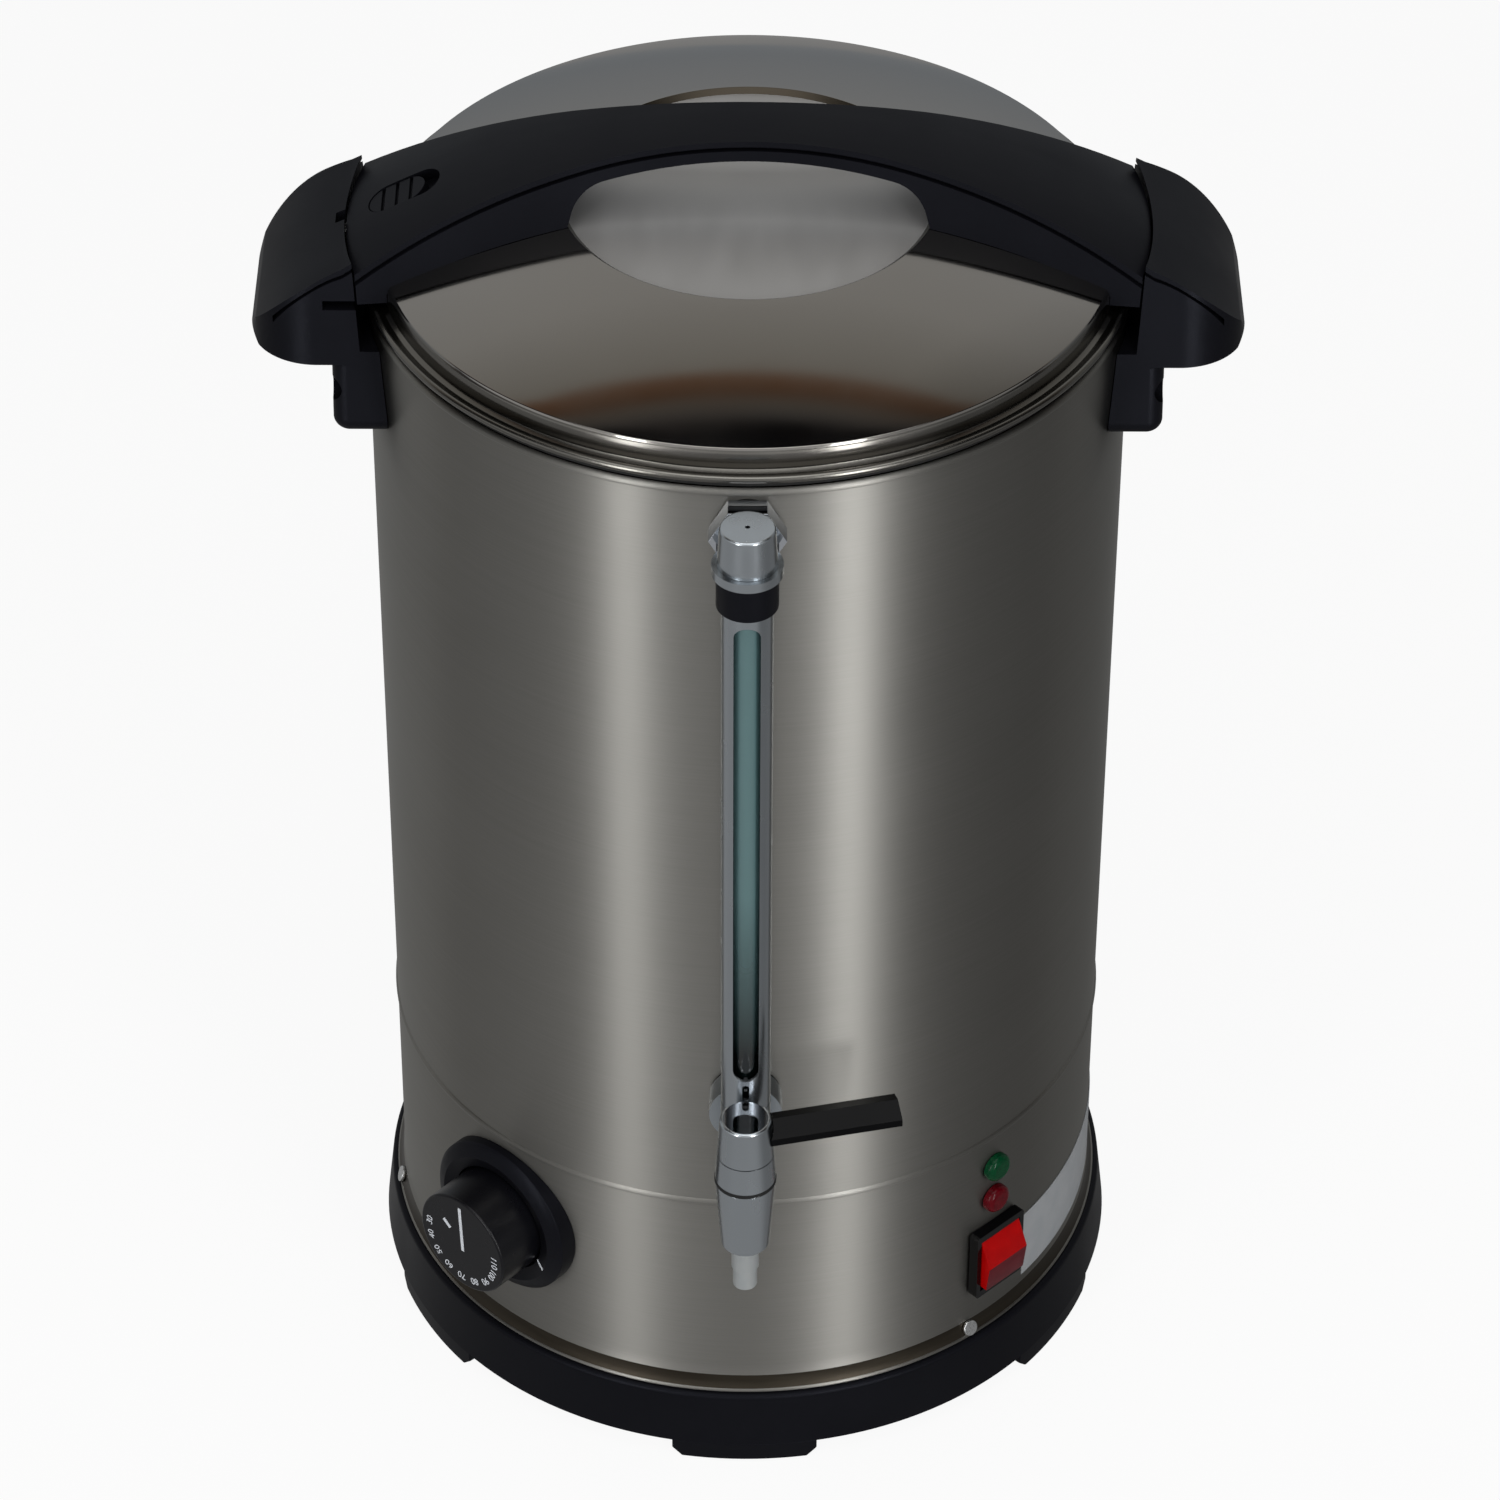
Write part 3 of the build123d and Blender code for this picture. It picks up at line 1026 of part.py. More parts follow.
write(tap_spout, "tap_spout")

with BuildPart() as tap_nozzle:
    disc(COLUMN_BASE, NOZZLE_R, NOZZLE_STEP, SPOUT_FOOT + NOZZLE_SOCKET - SEAT_GAP)
    disc(COLUMN_BASE, NOZZLE_TIP_R, NOZZLE_TIP, NOZZLE_STEP)
    bore(COLUMN_BASE, NOZZLE_BORE_R, NOZZLE_TIP, SPOUT_FOOT + NOZZLE_SOCKET)
write(tap_nozzle, "tap_nozzle")

tap_nut_seat = wall_inside(TAP_NUT_AF * 0.58)
with BuildPart() as tap_seals:
    disc(TAP_LINE, TAP_FLANGE_R - 0.4, tap_seal_back, tap_flange_back - SCREW_GAP)
    disc(TAP_LINE, TAP_FLANGE_R, tap_nut_seat - WASHER, tap_nut_seat)
    bore(TAP_LINE, TAP_SHANK_R + SCREW_GAP, tap_nut_seat - WASHER - 1, tap_flange_back)
write(tap_seals, "tap_seals")

with BuildPart() as tap_nut:
    hexagon(TAP_LINE, TAP_NUT_AF, tap_nut_seat - WASHER - NUT_HEIGHT, tap_nut_seat - WASHER - SCREW_GAP)
    bore(TAP_LINE, TAP_SHANK_R + SCREW_GAP, TAP_SHANK_END - 5, tap_nut_seat)
write(tap_nut, "tap_nut")

# --- Sight gauge ------------------------------------------------------------------------------
with BuildPart() as gauge_guard:
    disc(GAUGE_BASE, GUARD_R, GUARD_BOTTOM + SEAT_GAP, GUARD_TOP)
    bore(GAUGE_BASE, GUARD_R - GUARD_WALL, GUARD_BOTTOM, GUARD_TOP)
    with BuildSketch(Plane.XZ.offset(GAUGE_D)):
        with Locations((0, (WINDOW_BOTTOM + WINDOW_TOP) / 2)):
            SlotOverall(WINDOW_TOP - WINDOW_BOTTOM, WINDOW_WIDTH, rotation=90)
        with Locations((0, (SLIT_BOTTOM + SLIT_TOP) / 2)):
            SlotOverall(SLIT_TOP - SLIT_BOTTOM, SLIT_WIDTH, rotation=90)
    extrude(amount=GUARD_R + 2, mode=Mode.SUBTRACT)
write(gauge_guard, "gauge_guard")

with BuildPart() as gauge_glass:
    disc(GAUGE_BASE, GLASS_R, GLASS_BOTTOM, GLASS_TOP)
    bore(GAUGE_BASE, GLASS_R - GLASS_WALL, GLASS_BOTTOM, GLASS_TOP)
write(gauge_glass, "gauge_glass")

SOCKET_BOTTOM = GUARD_TOP + SEAT_GAP
with BuildPart() as gauge_packings:
    disc(GAUGE_BASE, PACK_R, GLASS_BOTTOM + 1, GLASS_BOTTOM + 1 + PACKING_HEIGHT)
    disc(GAUGE_BASE, PACK_R, SOCKET_BOTTOM + 1, SOCKET_BOTTOM + 1 + PACKING_HEIGHT)
    bore(GAUGE_BASE, GLASS_R + GLASS_GAP / 2, GLASS_BOTTOM, GLASS_TOP)
write(gauge_packings, "gauge_packings")

stub_nut_seat = wall_inside(STUB_INNER_AF * 0.58)
with BuildPart() as gauge_top_body:
    disc(GAUGE_BASE, GUARD_R, SOCKET_BOTTOM, COLLAR_TOP)
    disc(GAUGE_BASE, FLANGE_R, COLLAR_TOP + SEAT_GAP, FLANGE_TOP)
    with BuildSketch(STUB_LINE.offset(STUB_NUT_FRONT + SEAT_GAP)):
        Rectangle(2 * STUB_NUT_AF, 2 * STUB_NUT_AF)
    extrude(amount=-2 * STUB_R, mode=Mode.SUBTRACT)
    disc(GAUGE_BASE, CAP_TOP_R - CAP_WALL, COLLAR_TOP, CAP_TOP - CAP_WALL - 2)
    disc(STUB_LINE, STUB_R, stub_nut_seat - NUT_HEIGHT - 3, GAUGE_D)
    bore(GAUGE_BASE, GLASS_R + GLASS_GAP, SOCKET_BOTTOM, GLASS_TOP + GLASS_GAP)
    bore(GAUGE_BASE, PACK_R + GLASS_GAP, SOCKET_BOTTOM, SOCKET_BOTTOM + 2 + PACKING_HEIGHT)
    bore(GAUGE_BASE, STUB_BORE_R, GLASS_TOP, CAP_TOP)
    bore(STUB_LINE, STUB_BORE_R, stub_nut_seat - NUT_HEIGHT - 4, GAUGE_D)
write(gauge_top_body, "gauge_top_body")

with BuildPart() as gauge_cap:
    with BuildSketch(Plane.XZ.offset(GAUGE_D)):
        with BuildLine():
            cap_foot = FLANGE_TOP + SEAT_GAP
            Polyline((0, cap_foot), (CAP_FOOT_R, cap_foot), (CAP_TOP_R, CAP_TOP), (0, CAP_TOP), close=True)
        make_face()
    revolve(axis=Axis((0, -GAUGE_D, 0), (0, 0, 1)))
    fillet(gauge_cap.edges().group_by(Axis.Z)[-1], radius=1.0)
    bore(GAUGE_BASE, CAP_TOP_R - CAP_WALL + SCREW_GAP, cap_foot, CAP_TOP - CAP_WALL)
    bore(GAUGE_BASE, VENT_R, CAP_TOP - CAP_WALL - 1, CAP_TOP)
    with BuildSketch(Plane.XZ.offset(STUB_NUT_FRONT - 4)):
        with Locations((0, STUB_Z)):
            Circle(STUB_R + SCREW_GAP)
        with Locations((0, (STUB_Z + cap_foot - 1) / 2)):
            Rectangle(2 * (STUB_R + SCREW_GAP), STUB_Z - cap_foot + 1)
    extrude(amount=GAUGE_D - STUB_NUT_FRONT + 4, mode=Mode.SUBTRACT)
write(gauge_cap, "gauge_cap")

with BuildPart() as gauge_collar:
    disc(GAUGE_BASE, COLLAR_R, GUARD_TOP - 2, COLLAR_TOP)
    bore(GAUGE_BASE, GUARD_R + SCREW_GAP, GUARD_TOP - 2, COLLAR_TOP)
    bore(STUB_LINE, STUB_R + SCREW_GAP, STUB_NUT_FRONT - 4, GAUGE_D)
write(gauge_collar, "gauge_collar")

with BuildPart() as gauge_nuts:
    hexagon(STUB_LINE, STUB_NUT_AF, tap_flange_back, STUB_NUT_FRONT)
    hexagon(STUB_LINE, STUB_INNER_AF, stub_nut_seat - WASHER - NUT_HEIGHT, stub_nut_seat - WASHER - SCREW_GAP)
    bore(STUB_LINE, STUB_R + SCREW_GAP, stub_nut_seat - NUT_HEIGHT - 4, STUB_NUT_FRONT)
write(gauge_nuts, "gauge_nuts")

with BuildPart() as gauge_seals:
    disc(STUB_LINE, STUB_NUT_AF / 2 - 0.4, tap_seal_back, tap_flange_back - SCREW_GAP)
    disc(STUB_LINE, STUB_INNER_AF / 2, stub_nut_seat - WASHER, stub_nut_seat)
    bore(STUB_LINE, STUB_R + SCREW_GAP, stub_nut_seat - WASHER - 1, tap_flange_back)
write(gauge_seals, "gauge_seals")

# --- Thermostat and knob ------------------------------------------------------------------------
KNOB_AXIS = Axis(KNOB_LINE.origin, KNOB_LINE.z_dir)


def knob_section(plane_points):
    """Turns a closed outline, given as radius and distance out, about the knob's axis."""
    section = Plane(origin=KNOB_LINE.origin, x_dir=KNOB_LINE.x_dir, z_dir=(0, 0, -1))
    with BuildSketch(section) as outline:
        with BuildLine():
            Polyline(*plane_points, close=True)
        make_face()
    revolve(outline.sketch, axis=KNOB_AXIS)


with BuildPart() as knob_bezel:
    bezel_root = TANK_R - BEZEL_REACH
    bezel_edge = BEZEL_FRONT - BEZEL_SHOULDER
    knob_section([(BEZEL_BORE, bezel_root), (BEZEL_R, bezel_root), (BEZEL_R, bezel_edge),
                  (BEZEL_R - BEZEL_EASE, BEZEL_FRONT - BEZEL_SHOULDER / 2), (BEZEL_CROWN_R, BEZEL_FRONT),
                  (BEZEL_BORE, BEZEL_FRONT - BEZEL_EASE)])
    with BuildSketch(Plane.XY.offset(FOOT_HEIGHT)):
        Circle(TANK_R + WALL_SEAT)
    extrude(amount=KNOB_Z * 2, mode=Mode.SUBTRACT)
write(knob_bezel, "knob_bezel")

with BuildPart() as control_knob:
    disc(KNOB_LINE, KNOB_R, KNOB_BACK, KNOB_FACE)
    fillet(control_knob.edges().filter_by(GeomType.CIRCLE), radius=1.0)
    bore(KNOB_LINE, KNOB_R - KNOB_WALL, KNOB_BACK, KNOB_FACE - KNOB_WALL)
    disc(KNOB_LINE, HUB_R, HUB_BACK, KNOB_FACE - 1)
    bore(KNOB_LINE, SHAFT_R + SHAFT_FIT, HUB_BACK, SHAFT_TIP)
write(control_knob, "control_knob")

stat_back = STAT_FRONT - STAT_DEPTH
with BuildPart() as thermostat_body:
    disc(KNOB_LINE, STAT_R, stat_back, STAT_FRONT)
    disc(KNOB_LINE, STAT_NECK_R, STAT_FRONT, STAT_NECK_END)
    bore(KNOB_LINE, SHAFT_R + SHAFT_FIT, stat_back + STAT_DEPTH / 2, STAT_NECK_END)
write(thermostat_body, "thermostat_body")

with BuildPart() as thermostat_nut:
    hexagon(KNOB_LINE, STAT_NUT_AF, TANK_R + WALL_SEAT, STAT_NECK_END - 0.6)
    bore(KNOB_LINE, STAT_NECK_R + SCREW_GAP, TANK_R, STAT_NECK_END)
write(thermostat_nut, "thermostat_nut")

with BuildPart() as thermostat_shaft:
    disc(KNOB_LINE, SHAFT_R, stat_back + STAT_DEPTH / 2 + SEAT_GAP, SHAFT_TIP - SEAT_GAP)
write(thermostat_shaft, "thermostat_shaft")

# --- Switch, lamps and label ----------------------------------------------------------------------
opening_width = ROCKER_WIDTH + 2 * ROCKER_SIDE_GAP
opening_height = 2 * (ROCKER_HALF + ROCKER_END_GAP)
pivot_place = SWITCH_LINE.origin + SWITCH_LINE.z_dir * PIVOT_D
with BuildPart() as switch_housing:
    with BuildSketch(SWITCH_LINE.offset(SWITCH_SEAT)):
        RectangleRounded(SWITCH_WIDTH, SWITCH_HEIGHT, 1.5)
    extrude(amount=SWITCH_FRONT - SWITCH_SEAT)
    with BuildSketch(SWITCH_LINE.offset(SWITCH_BACK)):
        Rectangle(opening_width + 2 * SWITCH_WALL, opening_height + 2 * SWITCH_WALL)
    extrude(amount=SWITCH_SEAT - SWITCH_BACK)
    with BuildSketch(SWITCH_LINE.offset(PIVOT_D - SWITCH_POCKET)):
        Rectangle(opening_width, opening_height)
    extrude(amount=SWITCH_FRONT, mode=Mode.SUBTRACT)
    pivot_line = Plane(origin=pivot_place, x_dir=(0, 0, 1), z_dir=SWITCH_LINE.x_dir)
    pin_end = ROCKER_WIDTH / 2 + PIVOT_PIN_REACH
    bore(pivot_line, PIVOT_PIN_R + PIVOT_PIN_FIT, -pin_end - 0.2, pin_end + 0.2)
write(switch_housing, "switch_housing")

with BuildPart() as switch_rocker:
    lean = radians(ROCKER_TILT)
    up_rocker = Vector(0, 0, 1) * cos(lean) - SWITCH_LINE.z_dir * sin(lean)
    tilted = Plane(origin=pivot_place, x_dir=up_rocker, z_dir=SWITCH_LINE.x_dir)
    rocker_foot = ROCKER_HALF - ROCKER_TAPER
    with BuildSketch(tilted.offset(-ROCKER_WIDTH / 2)):
        with BuildLine():
            Polyline((ROCKER_HALF, ROCKER_END_RISE), (0, ROCKER_RIDGE), (-ROCKER_HALF, ROCKER_END_RISE),
                     (-rocker_foot, -ROCKER_BACK), (rocker_foot, -ROCKER_BACK), close=True)
        make_face()
    extrude(amount=ROCKER_WIDTH)
    disc(pivot_line, PIVOT_PIN_R, -pin_end, pin_end)
write(switch_rocker, "switch_rocker")

for lamp_name, lamp_z in LAMP_ZS.items():
    lamp_line = out_from_wall(LAMP_AZ, lamp_z)
    with BuildPart() as lamp:
        disc(lamp_line, LAMP_R, SWITCH_SEAT, LAMP_FRONT)
        rims = lamp.edges().filter_by(GeomType.CIRCLE)
        front_rim = rims.sort_by(Axis(lamp_line.origin, lamp_line.z_dir))[-1]
        fillet(front_rim, radius=LAMP_FRONT - SWITCH_SEAT - LAMP_RIM)
        disc(lamp_line, LAMP_BODY_R, LAMP_BACK, SWITCH_SEAT)
    write(lamp, lamp_name)

lamp_nut_seat = wall_inside(LAMP_NUT_R)
with BuildPart() as lamp_nuts:
    for lamp_z in LAMP_ZS.values():
        lamp_line = out_from_wall(LAMP_AZ, lamp_z)
        disc(lamp_line, LAMP_NUT_R, lamp_nut_seat - NUT_HEIGHT, lamp_nut_seat)
        bore(lamp_line, LAMP_BODY_R + SCREW_GAP, lamp_nut_seat - NUT_HEIGHT, lamp_nut_seat)
write(lamp_nuts, "lamp_nuts")

with BuildPart() as rating_label:
    with BuildSketch(out_from_wall(LABEL_FROM - 90, 0)) as strip:
        with Locations((TANK_R + WALL_SEAT + LABEL_SHEET / 2, (LABEL_BOTTOM + LABEL_TOP) / 2)):
            Rectangle(LABEL_SHEET, LABEL_TOP - LABEL_BOTTOM)
    revolve(axis=Axis.Z, revolution_arc=LABEL_TO - LABEL_FROM)
write(rating_label, "rating_label")
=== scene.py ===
# %% [markdown]
# # A hot water urn
#
# The urn is a rolled steel tank on a moulded ring, with a polished lid, black handles, a sight
# gauge above a small tap, and a thermostat knob beside a switch and two lamps.
# Its CAD model is already exact, so this lesson keeps every part in its place and gives each one
# the edges and the finish that the real part has.
# The model loads first, and everything that follows is measured from it.

# %% Load the model
import json
from math import asin, atan2, cos, degrees, pi, radians, sin, sqrt

import bpy
from mathutils import Matrix, Vector

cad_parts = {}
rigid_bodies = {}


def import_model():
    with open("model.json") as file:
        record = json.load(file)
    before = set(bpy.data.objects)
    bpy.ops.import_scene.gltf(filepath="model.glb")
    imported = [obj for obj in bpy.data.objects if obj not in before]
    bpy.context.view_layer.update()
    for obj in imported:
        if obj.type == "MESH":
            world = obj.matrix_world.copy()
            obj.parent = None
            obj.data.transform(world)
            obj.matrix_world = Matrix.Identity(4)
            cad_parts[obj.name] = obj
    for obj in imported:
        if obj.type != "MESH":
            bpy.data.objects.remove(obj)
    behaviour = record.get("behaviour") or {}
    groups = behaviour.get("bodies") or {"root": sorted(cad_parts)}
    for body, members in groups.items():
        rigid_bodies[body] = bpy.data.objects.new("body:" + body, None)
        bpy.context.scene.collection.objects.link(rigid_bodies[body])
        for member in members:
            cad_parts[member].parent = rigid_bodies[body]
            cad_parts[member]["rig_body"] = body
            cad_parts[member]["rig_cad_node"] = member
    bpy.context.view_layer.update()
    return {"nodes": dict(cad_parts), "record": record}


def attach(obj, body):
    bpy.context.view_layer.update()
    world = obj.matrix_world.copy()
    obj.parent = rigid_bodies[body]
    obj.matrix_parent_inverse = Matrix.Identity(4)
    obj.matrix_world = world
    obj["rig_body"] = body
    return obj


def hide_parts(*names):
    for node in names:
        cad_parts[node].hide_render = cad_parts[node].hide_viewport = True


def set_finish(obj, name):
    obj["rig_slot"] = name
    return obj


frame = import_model()

# %% [markdown]
# ## The camera
#
# The urn is looked at from above its tap, about as a person standing at a table sees it.
# A long lens far away keeps the tank's sides nearly upright, so the camera stands 2.3 m off and
# aims at the middle of the tank's height.
# Turning the camera about its own line of sight comes first in the ZYX order, which gives the
# slight lean without moving the aim.

# %% Camera
SENSOR_MM = 36.0
LENS_MM = 141.7
CAMERA_FAR = 2.306
CAMERA_RISE = 39.01
CAMERA_LEAN = 0.20
AIM_HEIGHT = 0.2431
FRAME_SHIFT = 0.0021

rise = radians(CAMERA_RISE)
bpy.ops.object.camera_add(location=(0, -CAMERA_FAR * cos(rise), AIM_HEIGHT + CAMERA_FAR * sin(rise)))
camera = bpy.context.active_object
camera.rotation_mode = "ZYX"
camera.rotation_euler = (pi / 2 - rise, 0, radians(CAMERA_LEAN))
camera.data.lens = LENS_MM
camera.data.sensor_width = SENSOR_MM
camera.data.shift_x = FRAME_SHIFT
bpy.context.scene.camera = camera
bpy.context.scene.view_settings.view_transform = "Standard"
print("camera at", [round(value, 3) for value in camera.location])

# %% [markdown]
# ## Small helpers
#
# Drawings of sheet metal are in millimetres and Blender works in metres, so one function turns
# one into the other.
# An operator acts on whatever is selected, so each step first selects only its own piece.

# %% Units and selection
def mm(length):
    """Millimetres as Blender's metres."""
    return length / 1000


def deselect():
    """Lets go of every object, in object mode."""
    bpy.ops.object.select_all(action="DESELECT")


def hold(piece):
    """Makes one piece the only one that the next operator acts on."""
    deselect()
    piece.select_set(True)
    bpy.context.view_layer.objects.active = piece
    return piece


def faces(piece):
    """How many faces a piece has."""
    return len(piece.data.polygons)


print("10 mm is", mm(10), "m")

# %% [markdown]
# ## Edges
#
# No pressed or moulded edge is perfectly sharp, and the thin light line along a rounded edge is
# what makes a part look made.
# A Bevel modifier rounds every edge that turns by more than a set angle, smooth shading joins the
# small facets of a curve, and weighted normals keep the broad faces flat between them.

# %% Rounding edges
SHARP = 34.0
EASE_STEPS = 3


def eased(piece, width, segments=EASE_STEPS):
    """Rounds a piece's sharp edges by a width in millimetres and shades its curves smooth."""
    hold(piece)
    if width:
        bpy.ops.object.modifier_add(type="BEVEL")
        edge = piece.modifiers[-1]
        edge.width = mm(width)
        edge.segments = segments
        edge.limit_method = "ANGLE"
        edge.angle_limit = radians(SHARP)
        bpy.ops.object.modifier_apply(modifier=edge.name)
    bpy.ops.object.shade_smooth_by_angle(angle=radians(SHARP))
    bpy.ops.object.modifier_add(type="WEIGHTED_NORMAL")
    even = piece.modifiers[-1]
    even.keep_sharp = True
    bpy.ops.object.modifier_apply(modifier=even.name)
    return piece


print("edges that turn by more than", SHARP, "degrees get a radius")

# %% [markdown]
# ## Round sheet metal
#
# The jacket, the lid and the gasket are round about the tank's axis, as if made on a spinning
# lathe, so each is drawn once as a section and spun.
# The section starts as a small plane merged to one point, which is then drawn out corner by
# corner, and a full turn of it makes the shell.
# Where the section meets the axis the spin leaves many points in one place, so doubles are merged
# before the normals are turned outwards.

# %% Spinning a section
FULL_TURN = 360.0
SPIN_STEPS = 192
SAME_PLACE = 0.01


def arc(centre, radius, start, end, steps=8):
    """Corners along an arc of a section, as (radius, height) in millimetres."""
    turns = [radians(start + (end - start) * step / steps) for step in range(steps + 1)]
    return [(centre[0] + radius * cos(turn), centre[1] + radius * sin(turn)) for turn in turns]


def spun(name, section, steps=SPIN_STEPS, turn=FULL_TURN):
    """Spins a section about the tank's axis into a piece."""
    deselect()
    bpy.ops.mesh.primitive_plane_add(size=mm(1))
    piece = bpy.context.active_object
    piece.name = piece.data.name = name
    bpy.ops.object.mode_set(mode="EDIT")
    bpy.ops.mesh.merge(type="CENTER")
    bpy.ops.transform.translate(value=(mm(section[0][0]), 0, mm(section[0][1])))
    for near, far in zip(section, section[1:]):
        step = (mm(far[0] - near[0]), 0, mm(far[1] - near[1]))
        bpy.ops.mesh.extrude_vertices_move(TRANSFORM_OT_translate={"value": step})
    bpy.ops.mesh.select_all(action="SELECT")
    bpy.ops.mesh.spin(steps=steps, angle=radians(turn), center=(0, 0, 0), axis=(0, 0, 1))
    bpy.ops.mesh.select_all(action="SELECT")
    bpy.ops.mesh.remove_doubles(threshold=mm(SAME_PLACE))
    bpy.ops.mesh.normals_make_consistent(inside=False)
    bpy.ops.object.mode_set(mode="OBJECT")
    return piece


print("a full turn has", SPIN_STEPS, "steps")

# %% [markdown]
# ## The jacket
#
# The tank's wall is one sheet of stainless steel, 0.8 mm thick, rolled to a drum and welded.
# Its foot flares out over the ring and ends in a small hem, a bead low on the wall seats the
# tank's bottom, and its top edge is curled over so that it is stiff and safe to touch.
# The section is a closed loop, outside and inside, so the spun shell has a real thickness where
# the lid lifts off.

# %% Jacket
TANK_R = 140.0
SHEET = 0.8
WALL_TOP = 470.2
ROLL_CENTRE = (139.5, 471.6)
ROLL_R = 1.5
ROLL_START = -70.0
ROLL_END = 258.0
CREASE_Z = 132.6
CREASE_HALF = 1.5
CREASE_PROUD = 0.7
FLARE_TOP = 46.0
FLARE_R = 27.11
HEM_CENTRE = (142.35, 33.85)
HEM_R = 0.8
HEM_START = 150.0
HEM_END = 75.0

crease_r = (CREASE_HALF ** 2 + CREASE_PROUD ** 2) / (2 * CREASE_PROUD)
crease_turn = degrees(asin(CREASE_HALF / crease_r))
hem_top = HEM_CENTRE[1] + HEM_R * sin(radians(HEM_END))
flare_turn = degrees(asin((FLARE_TOP - hem_top) / FLARE_R))
outside = arc((TANK_R + FLARE_R, FLARE_TOP), FLARE_R, 180 + flare_turn, 180, 10)
outside += arc((TANK_R + CREASE_PROUD - crease_r, CREASE_Z), crease_r, -crease_turn, crease_turn)
roll = arc(ROLL_CENTRE, ROLL_R, ROLL_START, ROLL_END, 20)
inside = arc((TANK_R + FLARE_R, FLARE_TOP), FLARE_R + SHEET, 180, 180 + flare_turn, 10)
jacket_section = outside + [(TANK_R, WALL_TOP)] + roll + [(TANK_R - SHEET, WALL_TOP)] + inside
jacket_section += arc(HEM_CENTRE, HEM_R, HEM_START, FULL_TURN + HEM_END, 16) + [outside[0]]
jacket = eased(spun("jacket_shell", jacket_section), 0)
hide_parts("jacket")
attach(jacket, "urn_body")
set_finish(jacket, "brushed_steel")
print("jacket:", faces(jacket), "faces, wall", SHEET, "mm")

# %% [markdown]
# ## The lid
#
# The lid is pressed from 1 mm stainless steel: a low dome, a flat disc set down in its middle, and
# at its edge a turned-down step, a shallow channel and a curled rim.
# A collar below the channel drops into the tank.
# The dome is part of a large sphere, which is why a lamp makes a broad, bent reflection on it.

# %% Lid
LID_SHEET = 1.0
DISC_R = 69.3
DISC_EDGE = 504.4
DISC_FLOOR = 502.4
DISC_WALL = 2.0
DOME_R = 134.2
DOME_EDGE = 485.6
CREST_R = 380.0
STEP_R = 135.4
SHOULDER_DROP = 3.2
CHANNEL_Z = 478.3
CHANNEL_DIP = 0.7
CHANNEL_R = 138.9
RIM_CENTRE = (140.1, 477.4)
RIM_R = 1.5
RIM_START = 143.0
RIM_END = -148.0
COLLAR_R = 137.2
COLLAR_TOP = 476.6
COLLAR_FOOT = 467.5
UNDER_CHANNEL = 477.3
UNDER_STEP = 483.6

crest = DISC_EDGE - sqrt(CREST_R ** 2 - DISC_R ** 2)


def dome(start, end, drop, steps=14):
    """Corners along the dome between two radii, below its outside by a depth."""
    radii = [start + (end - start) * step / steps for step in range(steps + 1)]
    return [(radius, crest + sqrt(CREST_R ** 2 - radius ** 2) - drop) for radius in radii]


shoulder = [(DOME_R + (STEP_R - DOME_R) * sin(turn), DOME_EDGE - SHOULDER_DROP * (1 - cos(turn)))
            for turn in [radians(angle) for angle in range(12, 91, 13)]]
top = [(0, DISC_FLOOR), (DISC_R - DISC_WALL, DISC_FLOOR)] + dome(DISC_R, DOME_R, 0)
top += shoulder + [(STEP_R, CHANNEL_Z)]
channel = [(COLLAR_R, CHANNEL_Z - CHANNEL_DIP), (CHANNEL_R, CHANNEL_Z)]
rim = arc(RIM_CENTRE, RIM_R, RIM_START, RIM_END, 18)
under = [(COLLAR_R, COLLAR_TOP), (COLLAR_R, COLLAR_FOOT), (COLLAR_R - LID_SHEET, COLLAR_FOOT)]
under += [(COLLAR_R - LID_SHEET, UNDER_CHANNEL), (STEP_R - LID_SHEET, UNDER_CHANNEL)]
under += [(STEP_R - LID_SHEET, UNDER_STEP)]
under += dome(DOME_R - LID_SHEET, DISC_R + 0.5, LID_SHEET)
under += [(DISC_R - 1.5, DISC_FLOOR - LID_SHEET), (0, DISC_FLOOR - LID_SHEET)]
lid = eased(spun("lid_dome", top + channel + rim + under), 0.25, 2)
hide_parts("lid_shell")
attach(lid, "lid")
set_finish(lid, "polished_steel")
print("lid:", faces(lid), "faces, crown of the dome at", round(crest + CREST_R, 1), "mm")

# %% [markdown]
# ## The ring and its feet
#
# The urn stands on one moulding of black plastic: a tapered ring with a flange that carries the
# jacket, a low rib that centres it and a ledge that holds the bottom cover.
# Six feet, each a sixteenth of a turn, lift it off the table so that heat and spilt water get out.
# One foot is spun from a small upright plane, chamfered at its two lower ends, rounded, and copied
# round the ring.

# %% Ring
RING_IN = 141.5
RING_OUT = 148.0
RING_LOW = 8.0
LOW_EASE = 0.8
SHOULDER_CENTRE = (143.4, 31.0)
SHOULDER_R = 2.0
TAPERED_R = 145.43
FLANGE_LOW = 30.0
FLANGE_TOP = 33.0
RIB_OUT = 138.6
RIB_IN = 134.6
RIB_TOP = 41.0
LEDGE_IN = 134.0
LEDGE_LOW = 10.8
LEDGE_TOP = 13.8

ring_section = [(RING_IN, RING_LOW), (RING_OUT - LOW_EASE, RING_LOW), (RING_OUT, RING_LOW + LOW_EASE)]
ring_section += [(TAPERED_R, SHOULDER_CENTRE[1])] + arc(SHOULDER_CENTRE, SHOULDER_R, 0, 90, 6)
ring_section += [(RIB_OUT, FLANGE_TOP), (RIB_OUT, RIB_TOP), (RIB_IN, RIB_TOP), (RIB_IN, FLANGE_LOW)]
ring_section += [(RING_IN, FLANGE_LOW), (RING_IN, LEDGE_TOP), (LEDGE_IN, LEDGE_TOP)]
ring_section += [(LEDGE_IN, LEDGE_LOW), (RING_IN, LEDGE_LOW), (RING_IN, RING_LOW)]
ring = eased(spun("moulded_ring", ring_section), 0)
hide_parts("base_ring")
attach(ring, "urn_body")
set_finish(ring, "black_plastic")
